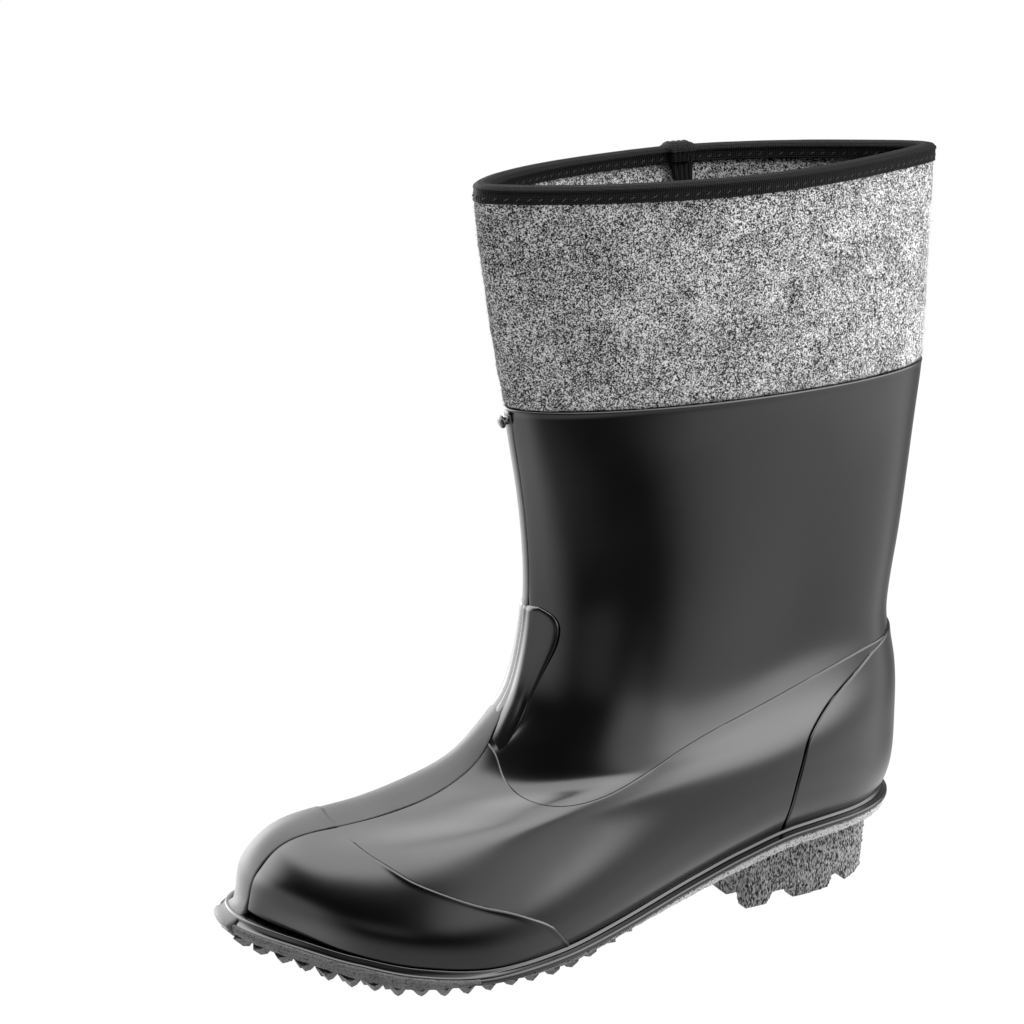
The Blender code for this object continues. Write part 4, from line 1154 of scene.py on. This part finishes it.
def make_tape():
    profile = tape_profile()
    shares = round_shares(310)
    places = [(TAPE_FOOT + up / COLLAR_LEVEL_TALL, out) for out, up in profile]
    share, level, out = round_grid(shares, places)
    spot = skin.at(share, level)
    wave = 0.012 * unevenness(spot, 60.0, 31)
    points = skin.at(share, level + wave, out + 0.06 * unevenness(spot, 12.0, 32))
    tape = sleeve("collar_tape", points, TAPE)
    over = run_length(np.concatenate([profile, profile[:1]]))
    whole = 2 * np.interp(WEAVE_LEVEL, skin.levels, skin.lengths)
    give_weave(tape, over, np.linspace(0.0, whole, len(shares) + 1))
    wear(tape, "black_tape", "collar_binding")


def give_weave(thing, over, around):
    """UV map in millimetres along and across a closed band of quads."""
    rows, columns = len(over) - 1, len(around) - 1
    r, c = (grid.ravel() for grid in np.meshgrid(np.arange(rows), np.arange(columns), indexing="ij"))
    turns = ((0, 0), (0, 1), (1, 1), (1, 0))
    corner = np.stack([np.stack([around[c + dc], over[r + dr]], 1) for dr, dc in turns], 1)
    layer = thing.data.uv_layers.new(name="weave")
    layer.data.foreach_set("uv", corner.astype(np.float32).ravel())


def make_stitches():
    """Slanted stitches along the lower part of the tape, outside and inside."""
    recipe = Recipe("tape_stitches", Pitch=4.4 * MM, Length=1.1 * MM, Thickness=0.2 * MM)
    line = recipe.node("GeometryNodeMeshToCurve", None, {"Mesh": recipe.given()})
    even = recipe.node("GeometryNodeResampleCurve", {"mode": "LENGTH"},
                       {"Curve": line, "Length": recipe.given("Pitch")})
    ball = {"Segments": 8, "Rings": 5, "Radius": 1.0}
    thread = recipe.node("GeometryNodeMeshUVSphere", None, ball, "Mesh")
    tangent = recipe.node("GeometryNodeInputTangent")
    facing = recipe.aim("X", tangent, recipe.aim("Z", recipe.attribute("out")), "Z")
    slanted = recipe.spin(facing, z=recipe.chance(0.45, 0.75, 4))
    thick = recipe.given("Thickness")
    placed = recipe.instances(even, thread, slanted, recipe.vector(recipe.given("Length"), thick, thick))
    shares = round_shares(220)
    points, out, edges = [], [], []
    level = TAPE_FOOT + 0.17
    for lift, side in ((TAPE_OUT + 0.03, 1), (TAPE_IN + 0.02, -1)):
        first = len(points) * len(shares)
        points.append(skin.at(shares, level, lift))
        out.append(side * skin.normal(shares, level))
        edges += [(first + i, first + (i + 1) % len(shares)) for i in range(len(shares))]
    seat = seat_points("stitch_lines", np.concatenate(points), edges, out=np.concatenate(out))
    stitches = recipe.run("tape_stitches", seat, placed, THREAD)
    bpy.data.objects.remove(seat)
    wear(stitches, "black_tape")


def make_join():
    """Tape end folded over the collar inside the leg: two layers with uneven ends."""
    layers = (
        (1.7, -JOIN_TAIL_DROP, JOIN_WIDE, JOIN_TAIL_WIDE, 0.0),
        (2.6, 0.2, JOIN_WIDE - 3.2, JOIN_WIDE - 5.6, 1.2),
    )
    shapes = []
    for lift, tail, wide, tail_wide, shift in layers:
        outside = np.stack([np.full(20, TAPE_OUT + lift - 0.85), np.linspace(0.3, 4.8, 20)], 1)
        turn = np.linspace(0.0, np.pi, 40)[1:-1]
        middle, half = (TAPE_OUT + TAPE_IN) / 2, (TAPE_OUT - TAPE_IN) / 2 + lift - 0.6
        over = np.stack([middle + half * np.cos(turn), 4.8 + (3.1 + lift - 0.9) * np.sin(turn)], 1)
        inside = np.stack([np.full(34, TAPE_IN - lift + 0.85), np.linspace(4.8, tail, 34)], 1)
        path = np.concatenate([outside, over, inside])
        run = np.linspace(0.0, 1.0, len(path))[:, None]
        across = np.linspace(-0.5, 0.5, 40)
        width = wide + (tail_wide - wide) * ramped(run, 0.62, 1.0)
        fray = 0.35 * np.sin(across * 61.0) + 0.25 * np.sin(across * 143.0 + 1.0)
        end = ramped(run, 0.9, 1.0)
        rise = path[:, 1][:, None] + fray * end
        level = TAPE_FOOT + rise / COLLAR_LEVEL_TALL
        share = JOIN_SHARE + skin.share_of((across * width + shift * run), level)
        inward = np.where(run < 0.3, -1.0, np.where(run > 0.62, 1.0, 0.0))
        cords = 0.55 * np.abs(np.sin(4.0 * np.pi * (across + 0.5)))
        out = path[:, 0][:, None] - inward * cords
        level = level + np.where(inward == 0, cords, 0.0) / COLLAR_LEVEL_TALL
        edge = rounded(np.minimum(np.abs(across - 0.5), np.abs(across + 0.5)) * wide, 0.6)
        face = skin.at(share, level, out + inward * 0.35 * (1 - edge))
        back = skin.at(share, level - np.where(inward == 0, 0.09, 0.0), out + inward * 0.9)
        shapes.append(slab_shape(face, back))
    join = make_piece("tape_join", *joined(shapes), TAPE)
    turn_out(join)
    mesh = join.data
    layer = mesh.uv_layers.new(name="weave")
    flat = np.array([v.co for v in mesh.vertices]) / MM
    corners = np.zeros(len(mesh.loops), np.int32)
    mesh.loops.foreach_get("vertex_index", corners)
    layer.data.foreach_set("uv", flat[corners][:, [0, 2]].astype(np.float32).ravel())
    wear(join, "black_tape", "binding_join")


# Sole and heel


def sole_profile(x):
    """Rows of the sole's edge from the top, each (out, drop), and the row where black rubber ends."""
    flange, tall = flange_at(x)
    ledge = flange - FLANGE_OUT
    side = [(-2.5, 0.2), (0.6, 0.5), (0.75, 0.1), (0.95, -0.25), (1.3, -0.38), (1.65, -0.2), (1.85, 0.2),
            (1.95, 0.75), (2.15, 1.0), (2.4, 0.85)]
    side += [(2.4 + (flange - 2.9) * t, 0.85 + 0.95 * t) for t in (0.25, 0.5, 0.75)]
    side += [(flange - 0.45, 1.75), (flange - 0.15, 1.95), (flange, 2.3),
             (flange + 0.05, 0.5 * (2.3 + tall)), (flange, tall - 0.25), (flange - 0.2, tall)]
    front = [(-2.5, 0.2), (0.6, 0.5), (0.75, 0.2), (0.9, -0.1), (1.5 + ledge, -0.35), (1.75 + ledge, -0.25),
             (1.9 + ledge, 0.1), (1.98 + ledge, 0.6), (2.06 + ledge, 1.1), (2.2 + ledge, 1.6),
             (2.42 + ledge, 2.1), (2.75 + ledge, 2.5), (3.2 + ledge, 2.7), (3.6 + ledge, 2.75),
             (flange - 0.5, 2.7), (flange - 0.1, 2.9), (flange + 0.1, 3.3), (flange + 0.1, tall),
             (flange, tall + 0.2)]
    toe = eased(x, 196.0, 236.0)
    rows = [(a + (c - a) * toe, b + (d - b) * toe) for (a, b), (c, d) in zip(side, front)]
    black = np.where(toe > 0.6, 13, len(rows))
    foot = ((0.9, 0.7, 0.05), (1.15, 0.75, 0.3), (1.1, 0.6, 0.55), (0.7, 0.1, 0.7), (0.6, 0.0, 0.9))
    rows += [(flange - back + lead * toe, tall + drop + 0.3 * toe) for back, lead, drop in foot]
    return rows, black


def plate_lines(plan):
    """Outer and inner edge of the plate's underside, as 3-D points."""
    x = plan.points[:, 0]
    flange = flange_at(x)[0]
    crown = EDGE_CROWN * ramped(x, CROWN_FROM, CROWN_FULL)
    outer, inner = (plan.moved(flange - inset) for inset in (PLATE_INSET, PLATE_INSET + EDGE_TOOTH_WIDE))
    return (np.column_stack([outer, sole_height("under", outer[:, 0]) + crown]),
            np.column_stack([inner, sole_height("under", inner[:, 0])]))


def make_sole():
    per_side = 300
    shares = round_shares(per_side)
    plan = Plan(shares)
    count = len(shares)
    rows, black = sole_profile(plan.points[:, 0])
    rings = [plan.hung(out, drop) for out, drop in rows]
    foot, inner = plate_lines(plan)
    rough = unevenness(foot, 4.0, 51) + 0.7 * unevenness(foot, 1.9, 52)
    for t in (0.3, 0.6, 0.85, 1.0):
        ring = rings[len(rows) - 1] + (foot - rings[len(rows) - 1]) * t
        ring[:, :2] += plan.normals * (0.12 * rough * t)[:, None]
        ring[:, 2] += 0.25 * rough * t
        rings.append(ring)
    rings += [foot + (inner - foot) * t for t in (0.15, 0.5, 1.0)]
    grid = np.array(rings)
    faces = quads(*grid.shape[:2], round_columns=True)
    picks = np.where(np.arange(len(faces)) // count < np.tile(black, len(rings) - 1), 0, 1)
    lists = faces[:, ::-1].tolist()
    for ring, flip in ((0, 1), (len(rings) - 1, -1)):
        first = ring * count
        for k in range(per_side):
            face = (first + k, first + k + 1, first + count - k - 1, first + (count - k) % count)
            lists.append(list(dict.fromkeys(face))[::flip])
    picks = np.concatenate([picks, np.zeros(per_side, int), np.ones(per_side, int)])
    sole = make_piece("outsole_rubber", grid, lists, RUBBER, TREAD)
    sole.data.polygons.foreach_set("material_index", picks.astype(np.int32))
    turn_out(sole)
    wear(sole, "tread_rubber", "outsole")


def tread_cells():
    """Feet of the teeth: middle, heading along the edge, and size, for edge teeth and lugs."""
    shares = round_shares(SOLE_CELLS)
    plan = Plan(shares)
    count = len(shares)
    edge, bed = plate_lines(plan)

    def cell(corners, drop):
        middle = np.mean(corners, axis=0)
        along = (corners[1] - corners[0] + corners[2] - corners[3]) / 2
        over = (corners[3] - corners[0] + corners[2] - corners[1]) / 2
        tall = middle[2] - sole_height("tips", middle[0]) - drop + LUG_ROOT
        return middle + (0, 0, LUG_ROOT), along, (np.linalg.norm(along), np.linalg.norm(over), tall)

    teeth, lugs = [], []
    for k in range(count):
        m = (k + 1) % count
        if min(k, count - 1 - k) < TREAD_CELLS:
            teeth.append(cell([edge[k], edge[m], bed[m], bed[k]], EDGE_TOOTH_SHORT))
    columns = np.linspace(0.0, 1.0, LUG_COLUMNS + 1)[:, None]
    line = {k: bed[k] + (bed[count - k] - bed[k]) * columns for k in range(1, SOLE_CELLS)}
    for k in range(2, TREAD_CELLS - 1):
        for i in range(LUG_COLUMNS):
            lugs.append(cell([line[k][i], line[k + 1][i], line[k + 1][i + 1], line[k][i + 1]], 0.0))
    return teeth, lugs


def make_tread():
    """Pyramid teeth along the sole's edge and blunt lugs under the forefoot."""
    teeth, lugs = tread_cells()
    kinds = (("edge_teeth", teeth, EDGE_TOOTH_TIP, 0.56, 0.0, 61),
             ("forefoot_lugs", lugs, LUG_TIP, 0.7071, np.pi / 4, 62))
    for name, cells, tip, side, turn, seed in kinds:
        recipe = Recipe(name, Tip=tip, Variation=0.08)
        block = recipe.node("GeometryNodeMeshCone", {"fill_type": "NGON"},
                            {"Vertices": 4, "Radius Top": side * recipe.given("Tip"), "Radius Bottom": side,
                             "Depth": 1.0}, "Mesh")
        over = {"Geometry": block, "Rotation": (np.pi, 0.0, turn)}
        square = recipe.node("GeometryNodeTransform", None, over)
        facing = recipe.aim("X", recipe.attribute("heading"))
        vary = recipe.given("Variation")
        wide, deep = (1.0 + vary * recipe.chance(-1.0, 1.0, seed + k) for k in range(2))
        spread = recipe.vector(wide, deep, 1.0 - vary * recipe.chance(0.0, 2.0, seed + 2))
        size = recipe.node("ShaderNodeVectorMath", {"operation": "MULTIPLY"},
                           {0: recipe.attribute("size"), 1: spread}, "Vector")
        placed = recipe.instances(recipe.given(), square, facing, size)
        middles, headings, sizes = (np.array(column) for column in zip(*cells))
        seat = seat_points(name + "_seats", middles, heading=headings * (1.0, 1.0, 0.0), size=sizes * MM)
        blocks = recipe.run(name, seat, placed, TREAD)
        bpy.data.objects.remove(seat)
        wear(blocks, "tread_rubber")


def make_heel():
    """Heel block from its solid, drawn again finely, with the pitted sides of worn rubber."""
    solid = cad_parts["heel"]
    heel = put("heel_rubber", solid.data.copy())
    work = bmesh.new()
    work.from_mesh(heel.data)
    bmesh.ops.remove_doubles(work, verts=work.verts, dist=1e-6)
    work.to_mesh(heel.data)
    work.free()
    remesh = heel.modifiers.new("fine", "REMESH")
    remesh.mode = "VOXEL"
    remesh.voxel_size = HEEL_VOXEL * MM
    heel.data = baked(heel, remesh)
    worn = heel.modifiers.new("worn", "SMOOTH")
    worn.factor = 0.5
    worn.iterations = 5
    heel.data = baked(heel, worn)
    count = len(heel.data.vertices)
    points, normals = np.zeros(count * 3), np.zeros(count * 3)
    heel.data.vertices.foreach_get("co", points)
    heel.data.vertices.foreach_get("normal", normals)
    points, normals = points.reshape(-1, 3), normals.reshape(-1, 3)
    side = 1 - ramped(np.abs(normals[:, 2]), 0.3, 0.7)
    pitted = 0.18 * unevenness(points / MM, 3.1, 71) + 0.16 * unevenness(points / MM, 1.9, 72)
    points = points + normals * (side * (pitted - 0.12))[:, None] * MM
    heel.data.vertices.foreach_set("co", points.ravel())
    heel.data.polygons.foreach_set("use_smooth", np.ones(len(heel.data.polygons), bool))
    heel.data.materials.clear()
    heel.data.materials.append(HEEL_RUBBER)
    wear(heel, "tread_rubber", "heel")


def make_insole():
    """Felt insole, a little dished."""
    along = np.linspace(0.0, 1.0, 90)
    shares = 0.004 + 0.992 * (along - 0.35 * np.sin(2 * np.pi * along) / (2 * np.pi))
    left, right = (Plan(hand * shares).moved(-INSOLE_INSET) for hand in (1, -1))
    across = np.linspace(0.0, 1.0, 25)[:, None, None]
    flat = left + (right - left) * across
    low = sole_height("feather", flat[..., 0]) + SOLE_GAP
    edge = np.minimum(across, 1 - across)[..., 0] * np.linalg.norm(right - left, axis=1)
    top = np.concatenate([flat, (low + INSOLE_THICK * (0.4 + 0.6 * rounded(edge, 2.5)))[..., None]], -1)
    back = np.concatenate([flat, low[..., None]], -1)
    insole = slab("insole_felt", top, back, FELT_CLOTH)
    turn_out(insole)
    wear(insole, "insole_felt", "insole")


# Stage


def make_camera():
    toward = np.array([np.sin(YAW) * np.cos(PITCH), np.cos(YAW) * np.cos(PITCH), np.sin(PITCH)])
    aim = Vector(place(AIM)[0])
    eye = aim + Vector(toward) * STAND_OFF * MM
    camera = put("camera", bpy.data.cameras.new("camera"))
    camera.data.sensor_width = SENSOR
    camera.data.lens = FOCAL_PIXELS / PHOTO_SIZE * SENSOR
    camera.data.clip_start = 0.01
    camera.data.clip_end = 60.0
    turn = (aim - eye).to_track_quat("-Z", "Y").to_matrix().to_4x4()
    camera.matrix_world = Matrix.Translation(eye) @ turn
    bpy.context.scene.camera = camera


def make_floor():
    """Plain white floor, with a ring of backdrop that fills low views."""
    paint = Paint("white_floor_finish")
    glow = paint.blend(paint.noise(900.0), 0.99, 1.0)
    finish = paint.shader(Base_Color=(0.02, 0.02, 0.02, 1.0), Roughness=1.0, Emission_Color=glow,
                          Emission_Strength=1.0, Specular_IOR_Level=0.0)
    reach = 12000.0
    corners = [(-reach, -reach, 0.0), (reach, -reach, 0.0), (reach, reach, 0.0), (-reach, reach, 0.0)]
    floor = make_piece("floor", corners, [[0, 1, 2, 3]], finish)
    turns = np.linspace(0.0, 2 * np.pi, 48, endpoint=False)
    ring = [(reach * np.cos(t), reach * np.sin(t), z) for z in (-10.0, reach) for t in turns]
    backdrop = make_piece("backdrop", ring, quads(2, len(turns), round_columns=True), finish)
    backdrop.visible_diffuse = False
    for sheet in (floor, backdrop):
        sheet.visible_glossy = False


# Soft lamps for cloth and sole: turn from the camera and height in degrees, distance and size in metres,
# and power
Lamp = namedtuple("Lamp", "turn height distance size power")
LAMPS = {
    "overhead": Lamp(0.0, 86.0, 2.4, 2.6, 60.0),
    "right_side": Lamp(102.0, 22.0, 2.0, 1.6, 72.0),
}


def make_lamps():
    for name, lamp in LAMPS.items():
        data = bpy.data.lights.new(name, "AREA")
        data.shape = "SQUARE"
        data.size = lamp.size
        data.energy = lamp.power
        turn, rise = np.radians(lamp.turn), np.radians(lamp.height)
        front, right = np.cos(turn) * np.cos(rise), np.sin(turn) * np.cos(rise)
        along, over = front * np.sin(YAW) - right * np.cos(YAW), front * np.cos(YAW) + right * np.sin(YAW)
        toward = Vector((along, over, np.sin(rise)))
        middle = Vector((0.0, 0.0, 0.15))
        light = put(name, data)
        facing = toward.to_track_quat("Z", "Y").to_matrix().to_4x4()
        light.matrix_world = Matrix.Translation(middle + toward * lamp.distance) @ facing
        light.visible_glossy = False


def make_light():
    """Surround that the rubber mirrors: a bright ceiling, a lamp on the left, pale sides, a dark front."""
    world = bpy.data.worlds.new("studio")
    world.use_nodes = True
    bpy.context.scene.world = world
    world.cycles_visibility.diffuse = False
    board = Board(world.node_tree)
    view = board.node("ShaderNodeTexCoord", output="Generated")
    front = view.dot((float(np.sin(YAW)), float(np.cos(YAW)), 0.0))
    right = view.dot((-float(np.cos(YAW)), float(np.sin(YAW)), 0.0))
    up = view.dot((0.0, 0.0, 1.0))
    ceiling = (5.6 - 1.8 * right.smooth(0.10, 0.45) + 1.8 * right.smooth(0.5, 0.8)) * up.smooth(0.65, 0.79)
    lamp = (-0.338 * front - 0.797 * right + 0.5 * up).smooth(0.58, 0.93)
    panel = 2.0 * (up + 0.9 * right).smooth(0.88, 1.10) * front.smooth(-0.2, 0.3)
    side_on = front.smooth(-0.75, -0.25)
    level_band = (1 - up.smooth(0.45, 0.70)) * (1 - 0.6 * (-up).smooth(0.32, 0.50))
    right_wall = 1.6 * right.smooth(0.42, 1.0) * level_band * side_on
    high_band = up.smooth(-0.15, 0.18) * (1 - 0.40 * up.smooth(0.42, 0.66))
    high_right = (2.0 * right.smooth(0.12, 0.42) + 3.0 * right.smooth(0.60, 0.76)) * high_band * side_on
    behind = (-front).smooth(0.10, 0.70) * (1 - up.smooth(0.50, 0.75))
    back_wall = (0.35 + 2.0 * (-right).smooth(-0.1, 0.3)) * behind
    left_floor = 1.45 * (-right).smooth(0.25, 0.62) * (-up).smooth(-0.30, 0.0)
    near_floor = 0.9 * (-up).smooth(0.28, 0.60)
    card = 0.5 * front.smooth(0.92, 1.0) * up.smooth(-0.20, -0.10) * (1 - up.smooth(0.0, 0.2))
    card = card * (1 - right.smooth(0.0, 0.25))
    right_floor = 0.45 * right.smooth(0.70, 0.95) * (-up).smooth(0.28, 0.50)
    shine = 0.02 + ceiling + lamp * (9.0 - ceiling) + panel + right_wall + high_right + back_wall
    shine = shine + left_floor + near_floor + right_floor + card
    background = world.node_tree.nodes["Background"].inputs
    board.feed(background["Strength"], shine)
    board.feed(background["Color"], (1.0, 1.0, 1.0, 1.0))
    bpy.context.scene.view_settings.view_transform = "Standard"


make_camera()
make_floor()
make_light()
make_lamps()
make_upper()
make_toe_cap()
make_galosh()
make_counter()
make_pad()
make_strip()
make_seam_shade()
make_button()
make_hairs(make_felt())
make_tape()
make_stitches()
make_join()
make_sole()
make_tread()
make_heel()
make_insole()
